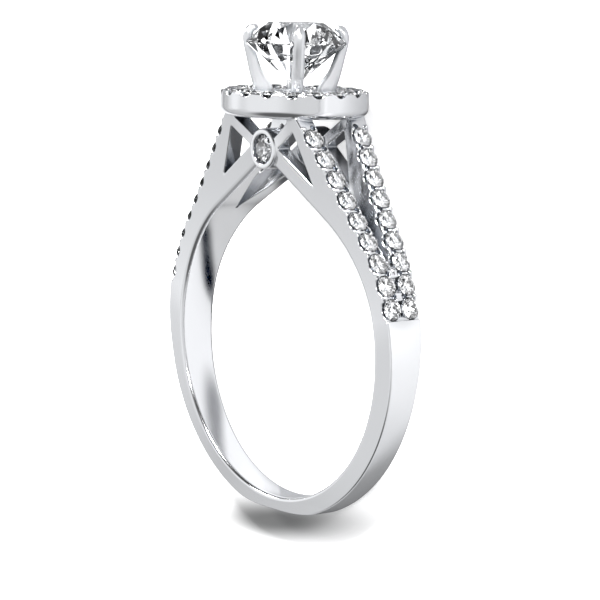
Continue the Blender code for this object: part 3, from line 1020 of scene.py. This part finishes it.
def mesh_object(name: str, data: SurfaceData, pose: Matrix) -> Object:
    """Make an object from a meshed surface, already laid on the floor.

    Args:
        name: Name of the object.
        data: The surface in millimetres.
        pose: Matrix from the standing ring to the row frame.

    Returns:
        The linked object.
    """
    turn = np.array(pose.to_3x3())
    points = data.points @ turn.T + np.array(pose.translation)
    normals = data.normals @ (turn / MM).T
    mesh = bpy.data.meshes.new(name)
    mesh.from_pydata(points.tolist(), [], data.faces.tolist())
    mesh.update()
    mesh.polygons.foreach_set("use_smooth", [True] * len(mesh.polygons))
    mesh.normals_split_custom_set_from_vertices(normals.tolist())
    return link_object(name, mesh)


def spot(radius: float, turn: float, height: float) -> Vector:
    """Point at a distance from the upright axis, an angle about it and a height."""
    return Vector((radius * math.cos(turn), radius * math.sin(turn), height))


@dataclass(frozen=True)
class BrilliantCut:
    """Round brilliant of 57 facets, as shares of the girdle's diameter."""

    table: float = 0.56
    crown: float = 0.15
    girdle: float = 0.025
    pavilion: float = 0.43
    star_length: float = 0.50
    lower_half: float = 0.77
    girdle_sides: int = 96
    blank_depth: float = 1.2

    def facet_points(self) -> tuple[list[list[Vector]], list[list[Vector]]]:
        """Three points of each crown facet and of each pavilion facet.

        Returns:
            The crown's facets and the pavilion's, in the order that they are cut.
        """
        eighth = math.tau / 8.0
        half = self.girdle / 2.0
        table_height = half + self.crown
        corner = self.table / 2.0
        edge_middle = corner * math.cos(eighth / 2.0)
        star = edge_middle + self.star_length * (0.5 - edge_middle)
        slope = self.crown / (0.5 - corner)
        star_height = half + slope * (0.5 - star * math.cos(eighth / 2.0))
        low = 0.5 * (1.0 - self.lower_half)
        steep = self.pavilion / 0.5
        low_height = -half - steep * (0.5 - low * math.cos(eighth / 2.0))
        crown = [[spot(corner, eighth * i, table_height) for i in (0, 1, 2)]]
        pavilion = []
        for i in range(8):
            turn = eighth * i
            on_girdle = spot(0.5, turn, half)
            under = spot(0.5, turn, -half)
            sides = [turn - eighth / 2.0, turn + eighth / 2.0]
            tips = [spot(star, side, star_height) for side in sides]
            lows = [spot(low, side, low_height) for side in sides]
            crown.append([tips[0], on_girdle, tips[1]])
            after = spot(corner, turn + eighth, table_height)
            crown.append([spot(corner, turn, table_height), tips[1], after])
            pavilion.append([lows[0], under, lows[1]])
            for side, tip, deep in zip(sides, tips, lows):
                crown.append([tip, on_girdle, spot(0.5, side, half)])
                pavilion.append([deep, under, spot(0.5, side, -half)])
        return crown, pavilion

    def mesh(self, name: str, diameter: float, table_at_zero: bool) -> Mesh:
        """Cut a stone from a round blank, one flat facet at a time.

        Args:
            name: Name of the mesh.
            diameter: Girdle diameter in millimetres.
            table_at_zero: Whether the table lies at zero height, rather than the girdle.

        Returns:
            The closed mesh in millimetres.
        """
        blank = bmesh.new()
        size = {"radius1": 0.5, "radius2": 0.5, "depth": self.blank_depth}
        bmesh.ops.create_cone(blank, cap_ends=True, segments=self.girdle_sides, **size)
        for crown_side, facets in zip((1.0, -1.0), self.facet_points()):
            for one, two, three in facets:
                normal = (two - one).cross(three - one).normalized()
                if normal.z * crown_side < 0.0:
                    normal.negate()
                self.cut(blank, one, normal)
        bmesh.ops.remove_doubles(blank, verts=blank.verts, dist=1e-5)
        bmesh.ops.recalc_face_normals(blank, faces=blank.faces)
        move = -(self.girdle / 2.0 + self.crown) if table_at_zero else 0.0
        shift = Matrix.Scale(diameter, 4) @ Matrix.Translation((0.0, 0.0, move))
        bmesh.ops.transform(blank, matrix=shift, verts=blank.verts)
        mesh = bpy.data.meshes.new(name)
        blank.to_mesh(mesh)
        blank.free()
        return mesh

    @staticmethod
    def cut(blank: bmesh.types.BMesh, point: Vector, normal: Vector) -> None:
        """Take off what lies outside a plane and close the cut with one flat facet.

        Args:
            blank: The stone so far.
            point: Any point of the plane.
            normal: The plane's direction, out of the stone.
        """
        geometry = list(blank.verts) + list(blank.edges) + list(blank.faces)
        plane = {"plane_co": point, "plane_no": normal, "clear_outer": True}
        result = bmesh.ops.bisect_plane(blank, geom=geometry, dist=1e-6, **plane)
        rim = [part for part in result["geom_cut"] if isinstance(part, bmesh.types.BMEdge)]
        open_rim = [edge for edge in rim if edge.is_boundary]
        if open_rim:
            bmesh.ops.edgeloop_fill(blank, edges=open_rim)


def rgba(colour: Triple, level: float = 1.0) -> tuple[float, ...]:
    """Opaque colour, times a level."""
    return (*(level * part for part in colour), 1.0)


class NodeKit:
    """Adds shader nodes to one tree, and sets or joins their inputs by name."""

    def __init__(self, tree: NodeTree) -> None:
        """Keep the tree that the nodes go into."""
        self.tree = tree

    def fill(self, sockets: Iterable[NodeSocket], values: Iterable[object]) -> None:
        """Give each input its value, or join it to the output that is given instead.

        Args:
            sockets: The inputs.
            values: A value or an output for each.
        """
        for socket, value in zip(sockets, values):
            if isinstance(value, NodeSocket):
                self.tree.links.new(value, socket)
            else:
                socket.default_value = value

    def put(self, node: Node, **settings: object) -> Node:
        """Fill a node's inputs by name and set its options.

        Args:
            node: The node.
            **settings: Values or outputs for inputs, named in small letters, or options.

        Returns:
            The same node.
        """
        sockets = reversed(list(node.inputs))
        named = {socket.name.lower().replace(" ", "_"): socket for socket in sockets}
        for name, value in settings.items():
            if name in named:
                self.fill([named[name]], [value])
            else:
                setattr(node, name, value)
        return node

    def add(self, kind: str, **settings: object) -> Node:
        """Add a node of Blender's kind, filled as put() does."""
        return self.put(self.tree.nodes.new(kind), **settings)

    def group(self, tree: NodeTree, **settings: object) -> bpy.types.bpy_prop_collection:
        """Outputs of a shader group that is used with these inputs."""
        return self.put(self.add("ShaderNodeGroup", node_tree=tree), **settings).outputs

    def math(self, operation: str, *values: object, kind: str = "ShaderNodeMath") -> NodeSocket:
        """Work out a number from numbers, from other outputs, or from vectors.

        Args:
            operation: Blender's name for the sum.
            *values: What it works on, in the order of the node's inputs.
            kind: Blender's name for the node, which differs for vectors.

        Returns:
            The output with the number.
        """
        node = self.add(kind, operation=operation)
        self.fill(node.inputs, values)
        return node.outputs["Value"]

    def noise(
        self, place: NodeSocket, scale: object, detail: float, rough: float = 0.5
    ) -> NodeSocket:
        """Cloudy noise between zero and one, with a number of clouds per metre."""
        settings = {"vector": place, "scale": scale, "detail": detail, "roughness": rough}
        return self.add("ShaderNodeTexNoise", **settings).outputs["Fac"]

    def mix(self, share: NodeSocket, low: object, high: object) -> NodeSocket:
        """Mix two colours, each a colour or an output, by a share.

        Args:
            share: Output with the share of the second.
            low: The first colour.
            high: The second colour.

        Returns:
            The output with the mixed colour.
        """
        node = self.add("ShaderNodeMix", data_type="RGBA", factor=share)
        self.fill([socket for socket in node.inputs if socket.type == "RGBA"], (low, high))
        return next(socket for socket in node.outputs if socket.type == "RGBA")

    def ramp(self, share: NodeSocket, steps: Iterable[tuple]) -> NodeSocket:
        """Colour that changes along a share.

        Args:
            share: Output with the share.
            steps: Place and colour of each step, from the lowest up.

        Returns:
            The output with the colour.
        """
        node = self.add("ShaderNodeValToRGB", fac=share)
        elements = node.color_ramp.elements
        for number, (place, colour) in enumerate(steps):
            step = elements[number] if number < 2 else elements.new(1.0)
            step.position = place
            step.color = colour
        return node.outputs["Color"]

    def near(
        self, point: NodeSocket, centre: Iterable[float], inner: float, outer: float
    ) -> NodeSocket:
        """Mask that is one near a centre and falls softly to zero.

        Args:
            point: Output with the place that is looked at.
            centre: The centre.
            inner: Distance up to which the mask is one.
            outer: Distance from which it is zero.

        Returns:
            The output with the mask.
        """
        gap = self.math("DISTANCE", point, tuple(centre), kind="ShaderNodeVectorMath")
        return self.soft(gap, outer, inner)

    def soft(self, value: NodeSocket, low: float, high: float) -> NodeSocket:
        """Rise softly from zero to one while a value goes from a low to a high limit."""
        settings = {"interpolation_type": "SMOOTHSTEP", "from_min": low, "from_max": high}
        return self.add("ShaderNodeMapRange", value=value, **settings).outputs["Result"]


def new_material(name: str) -> tuple[Material, NodeKit, Node]:
    """Make a material.

    Args:
        name: Its name.

    Returns:
        The material, a kit for its nodes and its main shader.
    """
    material = bpy.data.materials.new(name)
    material.use_nodes = True
    return material, NodeKit(material.node_tree), material.node_tree.nodes["Principled BSDF"]


@dataclass(frozen=True)
class SurfaceGroups:
    """Shader groups that more than one finish uses, with their marks counted per metre."""

    mark_count: float = 9000.0
    mark_detail: tuple[float, float] = (3.0, 0.6)
    mark_stretch: Triple = (0.25, 1.0, 1.0)
    mark_turn: Triple = (0.3, 0.5, 0.8)
    marks_in_haze: float = 0.35
    haze_count: float = 420.0
    haze_detail: tuple[float, float] = (4.0, 0.55)
    haze_level: float = 0.74
    tone_count: float = 160.0
    # Ambient occlusion rays and limits that place the metal's painted shade in narrow places.
    cover_rays: int = 6
    cover_limits: tuple[float, float] = (0.30, 0.86)

    @staticmethod
    def begin(name: str, inputs: dict[str, float], outputs: Iterable[str]) -> NodeKit:
        """Make an empty group that takes and gives numbers.

        Args:
            name: Name of the group.
            inputs: Name and usual value of each input.
            outputs: Name of each output.

        Returns:
            A kit for the group's nodes.
        """
        group = bpy.data.node_groups.new(name, "ShaderNodeTree")
        for label, value in inputs.items():
            socket = group.interface.new_socket(name=label, in_out="INPUT", socket_type="NodeSocketFloat")
            socket.default_value = value
        for label in outputs:
            group.interface.new_socket(name=label, in_out="OUTPUT", socket_type="NodeSocketFloat")
        return NodeKit(group)

    def polish(self) -> NodeTree:
        """Fine marks of a polished surface: a haze mask, a tone mask and a height.

        Returns:
            The group.
        """
        usual = {"Mark Scale": 1.0, "Mark Depth": 1.0, "Haze Scale": 1.0}
        kit = self.begin("polish_marks", usual, ("Haze", "Tone", "Height"))
        asked = kit.add("NodeGroupInput").outputs
        place = kit.add("ShaderNodeTexCoord").outputs["Object"]
        drawn = kit.add("ShaderNodeMapping", vector=place, scale=self.mark_stretch, rotation=self.mark_turn)
        mark_scale = kit.math("MULTIPLY", asked["Mark Scale"], self.mark_count)
        haze_scale = kit.math("MULTIPLY", asked["Haze Scale"], self.haze_count)
        marks = kit.noise(drawn.outputs["Vector"], mark_scale, *self.mark_detail)
        clouds = kit.noise(place, haze_scale, *self.haze_detail)
        haze = kit.math("MULTIPLY_ADD", marks, self.marks_in_haze, clouds)
        kit.add(
            "NodeGroupOutput",
            haze=kit.math("MULTIPLY", haze, self.haze_level),
            tone=kit.noise(place, self.tone_count, 2.0),
            height=kit.math("MULTIPLY", marks, asked["Mark Depth"]),
        )
        return kit.tree

    def painted_shade(self) -> NodeTree:
        """Mask of narrow places that take painted shade, found by ambient occlusion, one in the open.

        Returns:
            The group.
        """
        kit = self.begin("recess_mask", {"Reach": 0.001}, ("Open",))
        reach = kit.add("NodeGroupInput").outputs["Reach"]
        cover = kit.add("ShaderNodeAmbientOcclusion", samples=self.cover_rays, distance=reach)
        kit.add("NodeGroupOutput", open=kit.soft(cover.outputs["AO"], *self.cover_limits))
        return kit.tree


@dataclass(frozen=True)
class PolishedMetal:
    """Rhodium-white polished metal with the faint marks of a polishing wheel and painted shade in its
    narrow places.
    """

    name: str
    light: Triple = (0.905, 0.912, 0.925)
    dark: Triple = (0.86, 0.868, 0.885)
    # Slate colour of the painted shade in narrow places.
    painted_shade: Triple = (0.33, 0.35, 0.38)
    recess_reach: float = 1.3
    gloss: tuple[float, float] = (0.10, 0.17)
    mark_depth: float = 1.0
    relief: float = 0.05
    relief_height: float = 0.002

    def material(self, polish: NodeTree, painted_shade: NodeTree) -> Material:
        """Make the material.

        Args:
            polish: The shader group of polishing marks.
            painted_shade: The shader group that finds narrow places.

        Returns:
            The material.
        """
        material, kit, shader = new_material(self.name)
        marks = kit.group(polish, mark_depth=self.mark_depth)
        shaded_places = kit.group(painted_shade, reach=self.recess_reach * MM)
        polished = kit.mix(marks["Tone"], rgba(self.dark), rgba(self.light))
        low, high = self.gloss
        gloss = kit.add("ShaderNodeMapRange", value=marks["Haze"], to_min=low, to_max=high)
        bump = kit.add("ShaderNodeBump", strength=self.relief, distance=self.relief_height * MM)
        kit.put(bump, height=marks["Height"])
        kit.put(
            shader,
            metallic=1.0,
            # Painted shade: the colour darkens to slate where ambient occlusion finds narrow places.
            base_color=kit.mix(shaded_places["Open"], rgba(self.painted_shade), polished),
            roughness=gloss.outputs["Result"],
            normal=bump.outputs["Normal"],
        )
        return material


@dataclass(frozen=True)
class CutStone:
    """Colourless cut stone, with the faint cloudiness of a real one in its colour."""

    name: str
    clear: Triple = (1.0, 1.0, 1.0)
    cloudy: Triple = (0.95, 0.965, 0.98)
    cloud_scale: float = 900.0
    cloud_limits: tuple[float, float] = (0.30, 0.62)
    index: float = 2.417

    def material(self) -> Material:
        """Make the material.

        Returns:
            The material.
        """
        material, kit, shader = new_material(self.name)
        cloud = kit.noise(kit.add("ShaderNodeTexCoord").outputs["Object"], self.cloud_scale, 2.0)
        colour = kit.ramp(cloud, zip(self.cloud_limits, (rgba(self.cloudy), rgba(self.clear))))
        kit.put(shader, base_color=colour, metallic=0.0, roughness=0.0)
        kit.put(shader, ior=self.index, transmission_weight=1.0)
        return material


@dataclass(frozen=True)
class LightPool:
    """Soft pool of painted light, or of painted shade where its glow is below zero, on the floor that the
    ring reflects, in millimetres.
    """

    name: str
    centre: tuple[float, float]
    inner: float
    outer: float
    glow: float


@dataclass(frozen=True)
class StudioFloor:
    """Plain pale floor that glows for the eye, except under the ring's foot, where a contact shadow is
    painted.

    The eye sees it white. The ring reflects it as a mid grey floor, a darker painted copy, with painted
    pools of light and shade, as a polished ring does between cards.
    """

    name: str = "studio_floor"
    size: float = 0.9
    roughness: float = 0.6
    grain_scale: float = 60.0
    grain_shade: float = 0.98
    seen: Triple = (0.95, 0.95, 0.95)
    # Colour that the ring's reflections see: painted shade, far darker than the colour the eye sees.
    reflected: Triple = (0.22, 0.222, 0.228)
    lift: float = 0.62
    through_stones: float = 0.8
    # Painted contact shadow under the foot: the centre, turn, stretch and reach of its ellipse, and how far
    # it darkens the seen colour.
    foot: Triple = (-2.2, -14.6, 0.0)
    foot_turn: float = math.radians(9.0)
    foot_stretch: float = 6.5
    foot_reach: tuple[float, float] = (0.2, 1.9)
    foot_shade: float = 0.66
    hole: Triple = (0.0, -4.1, 0.0)
    hole_reach: tuple[float, float] = (7.6, 8.4)
    # Painted pools of light and shade, seen by the ring but not by the eye: some inside the finger hole,
    # some round the ring.
    hole_pools: tuple[LightPool, ...] = (
        LightPool("high", (-6.6, 0.4), 2.5, 3.7, 0.54),
        LightPool("low", (-6.0, -8.6), 4.95, 5.2, 0.56),
        LightPool("edge_shade", (-6.25, -2.95), 0.25, 0.65, -0.42),
        LightPool("low_shade", (-5.7, -6.7), 0.3, 1.6, -0.72),
    )
    pools: tuple[LightPool, ...] = (
        LightPool("right_of_band", (14.0, -4.6), 1.5, 12.0, 0.52),
        LightPool("under_ledge", (13.2, 0.4), 0.6, 2.4, -0.36),
        LightPool("right_of_foot", (9.0, -18.0), 4.0, 10.0, 0.22),
        LightPool("right_of_head", (20.0, 12.0), 10.0, 20.0, 0.46),
        LightPool("far_right", (100.0, 0.0), 60.0, 80.0, 0.34),
        LightPool("left_of_band", (-32.0, -4.0), 8.0, 20.0, 0.45),
        LightPool("left_shoulder", (-18.0, 4.0), 4.0, 9.0, 0.45),
    )

    def build(self) -> Object:
        """Make the floor.

        Returns:
            The floor.
        """
        shape = bmesh.new()
        bmesh.ops.create_grid(shape, x_segments=8, y_segments=8, size=self.size)
        mesh = bpy.data.meshes.new(self.name)
        shape.to_mesh(mesh)
        shape.free()
        mesh.materials.append(self.material())
        floor = link_object(self.name, mesh)
        return floor

    def material(self) -> Material:
        """Make the floor's material, white to the eye and grey to the ring, with a painted contact shadow
        and painted pools of light and shade.

        Returns:
            The material.
        """
        material, kit, shader = new_material(self.name)
        place = kit.add("ShaderNodeTexCoord").outputs["Object"]
        foot_shadow_mask = self.foot_shadow_mask(kit, place)
        grain = kit.noise(place, self.grain_scale, 3.0)
        seen = kit.mix(grain, rgba(self.seen, self.grain_shade), rgba(self.seen))
        # Painted contact shadow: the seen colour darkens towards black under the foot.
        seen = kit.mix(kit.math("MULTIPLY", foot_shadow_mask, self.foot_shade), seen, (0.0, 0.0, 0.0, 1.0))
        path = kit.add("ShaderNodeLightPath")
        through = kit.math("MULTIPLY", path.outputs["Is Transmission Ray"], self.through_stones)
        direct = kit.math("MAXIMUM", path.outputs["Is Camera Ray"], through)
        # The eye's glow is taken away under the foot, so that the painted contact shadow shows.
        lift = kit.math("MULTIPLY", kit.math("SUBTRACT", 1.0, foot_shadow_mask), self.lift)
        in_hole = kit.near(place, self.metres(self.hole), *self.metres(self.hole_reach))
        # Painted light and shade: the pools' glow, which the eye doesn't see.
        glow = kit.math("MULTIPLY", in_hole, self.glow(kit, place, self.hole_pools))
        glow = kit.math("ADD", glow, self.glow(kit, place, self.pools))
        seen_glow = kit.math("MULTIPLY", direct, lift)
        reflected_glow = kit.math("MULTIPLY", kit.math("SUBTRACT", 1.0, direct), glow)
        kit.put(
            shader,
            roughness=self.roughness,
            specular_ior_level=0.0,
            # Darker colour for rays other than the eye's: painted shade in the ring's reflections.
            base_color=kit.mix(direct, rgba(self.reflected), seen),
            emission_color=(1.0, 1.0, 1.0, 1.0),
            emission_strength=kit.math("ADD", seen_glow, reflected_glow),
        )
        return material

    @staticmethod
    def metres(sizes: Iterable[float]) -> list[float]:
        """Millimetres as metres."""
        return [part * MM for part in sizes]

    def foot_shadow_mask(self, kit: NodeKit, place: NodeSocket) -> NodeSocket:
        """Mask of the painted contact shadow, a long narrow place under the foot of the band.

        Args:
            kit: Kit for the floor's nodes.
            place: Output with the place on the floor.

        Returns:
            The output with the mask.
        """
        along = kit.add(
            "ShaderNodeMapping",
            vector_type="TEXTURE",
            vector=place,
            location=self.metres(self.foot),
            rotation=(0.0, 0.0, self.foot_turn),
            scale=(self.foot_stretch, 1.0, 1.0),
        )
        return kit.near(along.outputs["Vector"], (0.0, 0.0, 0.0), *self.metres(self.foot_reach))

    def glow(
        self, kit: NodeKit, place: NodeSocket, pools: Iterable[LightPool]
    ) -> NodeSocket:
        """Sum of the painted light and shade of some pools.

        Args:
            kit: Kit for the floor's nodes.
            place: Output with the place on the floor.
            pools: The pools.

        Returns:
            The output with the sum.
        """
        total = 0.0
        for pool in pools:
            mask = kit.near(place, self.metres((*pool.centre, 0.0)), *self.metres((pool.inner, pool.outer)))
            mask.node.label = pool.name
            total = kit.math("MULTIPLY_ADD", mask, pool.glow, total)
        return total


def towards(azimuth: float, elevation: float) -> Vector:
    """Unit direction from the ring at an azimuth and an elevation in degrees."""
    a, e = math.radians(azimuth), math.radians(elevation)
    return Vector((math.sin(a) * math.cos(e), -math.cos(a) * math.cos(e), math.sin(e)))


@dataclass(frozen=True)
class SoftCard:
    """A soft light that faces the ring.

    Angles are in degrees, the distance and the size in metres, the power in watts.
    """

    name: str
    azimuth: float
    elevation: float
    size: tuple[float, float]
    power: float
    distance: float = 0.45

    def build(self) -> Object:
        """Make the light.

        Returns:
            The light.
        """
        lamp = bpy.data.lights.new(self.name, "AREA")
        lamp.shape = "RECTANGLE"
        lamp.size, lamp.size_y = self.size
        lamp.energy = self.power
        card = link_object(self.name, lamp)
        back = towards(self.azimuth, self.elevation)
        card.location = back * self.distance
        card.rotation_euler = back.to_track_quat("Z", "Y").to_euler()
        return card


@dataclass(frozen=True)
class SkyPatch:
    """Lighter or darker part of the surroundings, with a soft rim, in degrees."""

    azimuth: float
    elevation: float
    inner: float
    outer: float
    value: float


@dataclass(frozen=True)
class Studio:
    """Surroundings of the ring: floor, soft lights and camera, with angles in degrees."""

    pose: RestPose
    azimuth: float = 51.7403
    elevation: float = 8.712
    roll: float = 1.2854
    distance: float = 152.0
    lens: float = 163.958
    sensor: float = 36.0
    shift: tuple[float, float] = (0.017849, 0.069311)
    clip: tuple[float, float] = (0.002, 20.0)
    tint: Triple = (0.99, 0.998, 1.01)
    backdrop: Triple = (0.97, 0.97, 0.97)
    card: Triple = (1.35, 1.36, 1.38)
    gap: Triple = (0.02, 0.021, 0.023)
    gap_share: float = 0.42
    card_count: float = 4.5
    heights: tuple[tuple[float, float], ...] = (
        (-1.0, 0.30),
        (0.0, 0.62),
        (0.25, 0.55),
        (0.60, 0.65),
        (0.90, 0.90),
    )
    patches: tuple[SkyPatch, ...] = (
        SkyPatch(180.0, 20.0, 45.0, 75.0, 0.02),
        SkyPatch(82.0, 10.0, 15.0, 45.0, 0.72),
        SkyPatch(268.0, 36.0, 10.0, 28.0, 1.0),
        SkyPatch(284.0, 20.0, 3.0, 11.0, 0.78),
        SkyPatch(303.0, 26.0, 4.0, 12.0, 0.62),
        SkyPatch(300.0, 46.0, 5.0, 16.0, 0.72),
        SkyPatch(10.0, 22.0, 20.0, 48.0, 0.12),
    )
    cards: tuple[SoftCard, ...] = (
        SoftCard("key_card", 172.0, 40.0, (0.14, 0.10), 5.0),
        SoftCard("spark_card", 115.0, 30.0, (0.08, 0.08), 0.6),
        SoftCard("far_spark_card", -120.0, 35.0, (0.08, 0.08), 0.6),
    )

    def camera(self) -> Object:
        """Make the camera at the photograph's angle to the ring.

        Returns:
            The camera.
        """
        back = towards(self.azimuth, self.elevation)
        right = towards(self.azimuth + 90.0, 0.0)
        up = back.cross(right)
        roll = math.radians(self.roll)
        across = math.cos(roll) * right + math.sin(roll) * up
        rise = -math.sin(roll) * right + math.cos(roll) * up
        standing = Matrix((across, rise, back)).transposed()
        laid = self.pose.matrix()
        turn = (laid.to_3x3() @ Matrix.Scale(1.0 / MM, 3) @ standing).to_4x4()
        turn.translation = laid @ (back * self.distance)
        data = bpy.data.cameras.new("photo_camera")
        data.sensor_width = self.sensor
        data.lens = self.lens
        data.shift_x, data.shift_y = self.shift
        data.clip_start, data.clip_end = self.clip
        camera = link_object("photo_camera", data)
        camera.matrix_world = turn
        bpy.context.scene.camera = camera
        return camera

    def surround(self) -> None:
        """Light the scene softly from all round, by height and with a few patches."""
        world = bpy.data.worlds.new("studio_surround")
        bpy.context.scene.world = world
        world.use_nodes = True
        kit = NodeKit(world.node_tree)
        place = kit.add("ShaderNodeTexCoord").outputs["Generated"]
        split = kit.add("ShaderNodeSeparateXYZ", vector=place)
        rise = kit.math("MULTIPLY_ADD", split.outputs["Z"], 0.5, 0.5)
        sky = kit.ramp(rise, ((0.5 + 0.5 * high, rgba(self.tint, value)) for high, value in self.heights))
        for patch in self.patches:
            reach = [2.0 * math.sin(math.radians(part) / 2.0) for part in (patch.inner, patch.outer)]
            mask = kit.near(place, towards(patch.azimuth, patch.elevation), *reach)
            sky = kit.mix(mask, sky, rgba(self.tint, patch.value))
        path = kit.add("ShaderNodeLightPath")
        sky = kit.mix(path.outputs["Is Transmission Ray"], sky, self.cards_and_gaps(kit, place))
        sky = kit.mix(path.outputs["Is Camera Ray"], sky, rgba(self.backdrop))
        kit.put(world.node_tree.nodes["Background"], color=sky, strength=1.0)

    def cards_and_gaps(self, kit: NodeKit, place: NodeSocket) -> NodeSocket:
        """Surroundings as the stones see them: many small white cards with dark gaps.

        Args:
            kit: Kit for the world's nodes.
            place: Output with the direction that is looked in.

        Returns:
            The output with their colour.
        """
        cells = kit.add("ShaderNodeTexVoronoi", vector=place, scale=self.card_count)
        parts = kit.add("ShaderNodeSeparateColor", color=cells.outputs["Color"])
        gap = kit.math("LESS_THAN", parts.outputs["Red"], self.gap_share)
        return kit.mix(gap, rgba(self.card), rgba(self.gap))

    def build(self) -> None:
        """Make the whole studio."""
        StudioFloor().build()
        self.surround()
        for card in self.cards:
            card.build()
        self.camera()
        bpy.context.scene.view_settings.view_transform = "Standard"


@dataclass(frozen=True)
class Stand:
    """What a piece stands for: its finish, the record's material slot and the node."""

    finish: Material
    slot: str
    node: str


@dataclass
class RingModel:
    """The whole dressed ring."""

    pose: RestPose = field(default_factory=RestPose)
    shank: Shank = field(default_factory=Shank)
    halo: Halo = field(default_factory=Halo)
    centre: CentreStone = field(default_factory=CentreStone)
    small_cut: BrilliantCut = field(default_factory=lambda: BrilliantCut(girdle_sides=32))
    cell: float = 0.06
    claw_cell: float = 0.05

    def metal(self, finish: Material) -> None:
        """Mesh a quarter of the metal and mirror it into four pieces.

        Args:
            finish: The metal's material.
        """
        body = MetalBody(self.shank, Gallery(self.shank), self.halo, StoneRow(self.shank))
        quarter = LevelMesher(self.cell).mesh(body.field, body.room(), mirror=True)
        for hand in Shoulder:
            for wall in Wall:
                name = f"metal_{hand.name}_{wall.name}".lower()
                thing = mesh_object(name, quarter.mirrored(hand.value, wall.value), self.pose.matrix())
                self.finish(thing, Stand(finish, "white_metal", "mount"))

    def claws(self, finish: Material) -> None:
        """Mesh one claw and set it four times round the head.

        Args:
            finish: The claws' material.
        """
        claws = Claws(self.halo, self.centre)
        claw = LevelMesher(self.claw_cell).mesh(claws.field, claws.room(), mirror=False)
        for i in range(claws.count):
            turn = Matrix.Rotation(claws.turn - math.pi / 2.0 + math.tau * i / claws.count, 4, "Z")
            thing = mesh_object(f"claw_{i + 1}", claw, self.pose.matrix() @ turn)
            self.finish(thing, Stand(finish, "white_metal", "mount"))

    def finish(self, thing: Object, stand: Stand) -> None:
        """Dress a piece, hide the imported part of the node that it stands for, and let it ride on the
        ring.

        Args:
            thing: The piece.
            stand: What it stands for.
        """
        thing.data.materials.clear()
        thing.data.materials.append(stand.finish)
        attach(thing, "root")
        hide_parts(stand.node)
        LOG.info("%s: %d faces", thing.name, len(thing.data.polygons))

    def set_stone(self, name: str, mesh: Mesh, place: Matrix, stand: Stand) -> None:
        """Put a cut stone in its seat.

        Args:
            name: Name of the piece.
            mesh: The cut stone in millimetres.
            place: Its frame in the standing ring.
            stand: What it stands for.
        """
        own = mesh.copy()
        own.name = name
        own.transform(self.pose.matrix() @ place)
        if place.to_3x3().determinant() < 0.0:
            own.flip_normals()
        self.finish(link_object(name, own), stand)

    def centre_stone(self) -> None:
        """Cut and set the centre stone."""
        cut = BrilliantCut(crown=self.centre.crown)
        mesh = cut.mesh("centre_cut", self.centre.diameter, table_at_zero=False)
        lift = Matrix.Translation((0.0, 0.0, self.centre.girdle_height))
        look = CutStone("centre_stone_look", cloud_scale=500.0).material()
        self.set_stone("centre_brilliant", mesh, lift, Stand(look, "centre_stone", "centre_stone"))

    def gallery_stones(self) -> None:
        """Cut and set the stones of the two bezels."""
        gallery = Gallery(self.shank)
        look = CutStone("gallery_stone_look").material()
        mesh = self.small_cut.mesh("gallery_cut", gallery.stone, table_at_zero=True)
        rim = gallery.bezel_face + gallery.stone_proud
        for wall in Wall:
            side = wall.name.lower()
            turn = Matrix.Rotation(math.radians(-90.0) * wall.value, 4, "X")
            face = Matrix.Translation((0.0, wall.value * rim, self.shank.bezel_height))
            stand = Stand(look, "gallery_stone", f"gallery_stone_{side}")
            self.set_stone(f"gallery_brilliant_{side}", mesh, face @ turn, stand)

    def shoulder_stones(self) -> None:
        """Cut and set the stones of the four rails."""
        row = StoneRow(self.shank)
        look = CutStone("shoulder_stone_look").material()
        mesh = self.small_cut.mesh("shoulder_cut", row.stone, table_at_zero=True)
        for hand in Shoulder:
            for wall in Wall:
                mirror = Matrix.Diagonal((hand.value, wall.value, 1.0, 1.0))
                for number in range(row.count):
                    label = f"{hand.name}_{wall.name}_{number + 1}".lower()
                    stand = Stand(look, "shoulder_stone", f"shoulder_stone_{label}")
                    self.set_stone(f"shoulder_brilliant_{label}", mesh, mirror @ row.place(number), stand)

    def halo_stones(self) -> None:
        """Cut and set the halo's stones, whose solids are part of the metal's node."""
        halo = self.halo
        look = CutStone("halo_stone_look").material()
        mesh = self.small_cut.mesh("halo_cut", halo.stone, table_at_zero=True)
        lift = halo.top + self.small_cut.crown * halo.stone * halo.stone_lift
        for i in range(halo.count):
            turn = math.tau / halo.count * i
            place = Matrix.Translation(spot(halo.stone_radius, turn, lift)) @ Matrix.Rotation(turn, 4, "Z")
            self.set_stone(f"halo_brilliant_{i + 1}", mesh, place, Stand(look, "shoulder_stone", "mount"))

    def build(self) -> None:
        """Build the ring."""
        groups = SurfaceGroups()
        polish, painted_shade = groups.polish(), groups.painted_shade()
        self.metal(PolishedMetal("ring_metal").material(polish, painted_shade))
        # The claws are a darker copy of the ring's metal: their lower base colours are painted shade.
        shaded_claw_finish = PolishedMetal(
            "claw_metal",
            light=(0.85, 0.858, 0.872),
            dark=(0.80, 0.81, 0.83),
            recess_reach=0.5,
            gloss=(0.27, 0.34),
            mark_depth=0.6,
        )
        self.claws(shaded_claw_finish.material(polish, painted_shade))
        self.centre_stone()
        self.gallery_stones()
        self.shoulder_stones()
        self.halo_stones()


def main() -> None:
    """Build the ring and its studio."""
    logging.basicConfig(level=logging.INFO, format="%(message)s")
    RingModel().build()
    Studio(RestPose()).build()


if __name__ == "__main__":
    main()
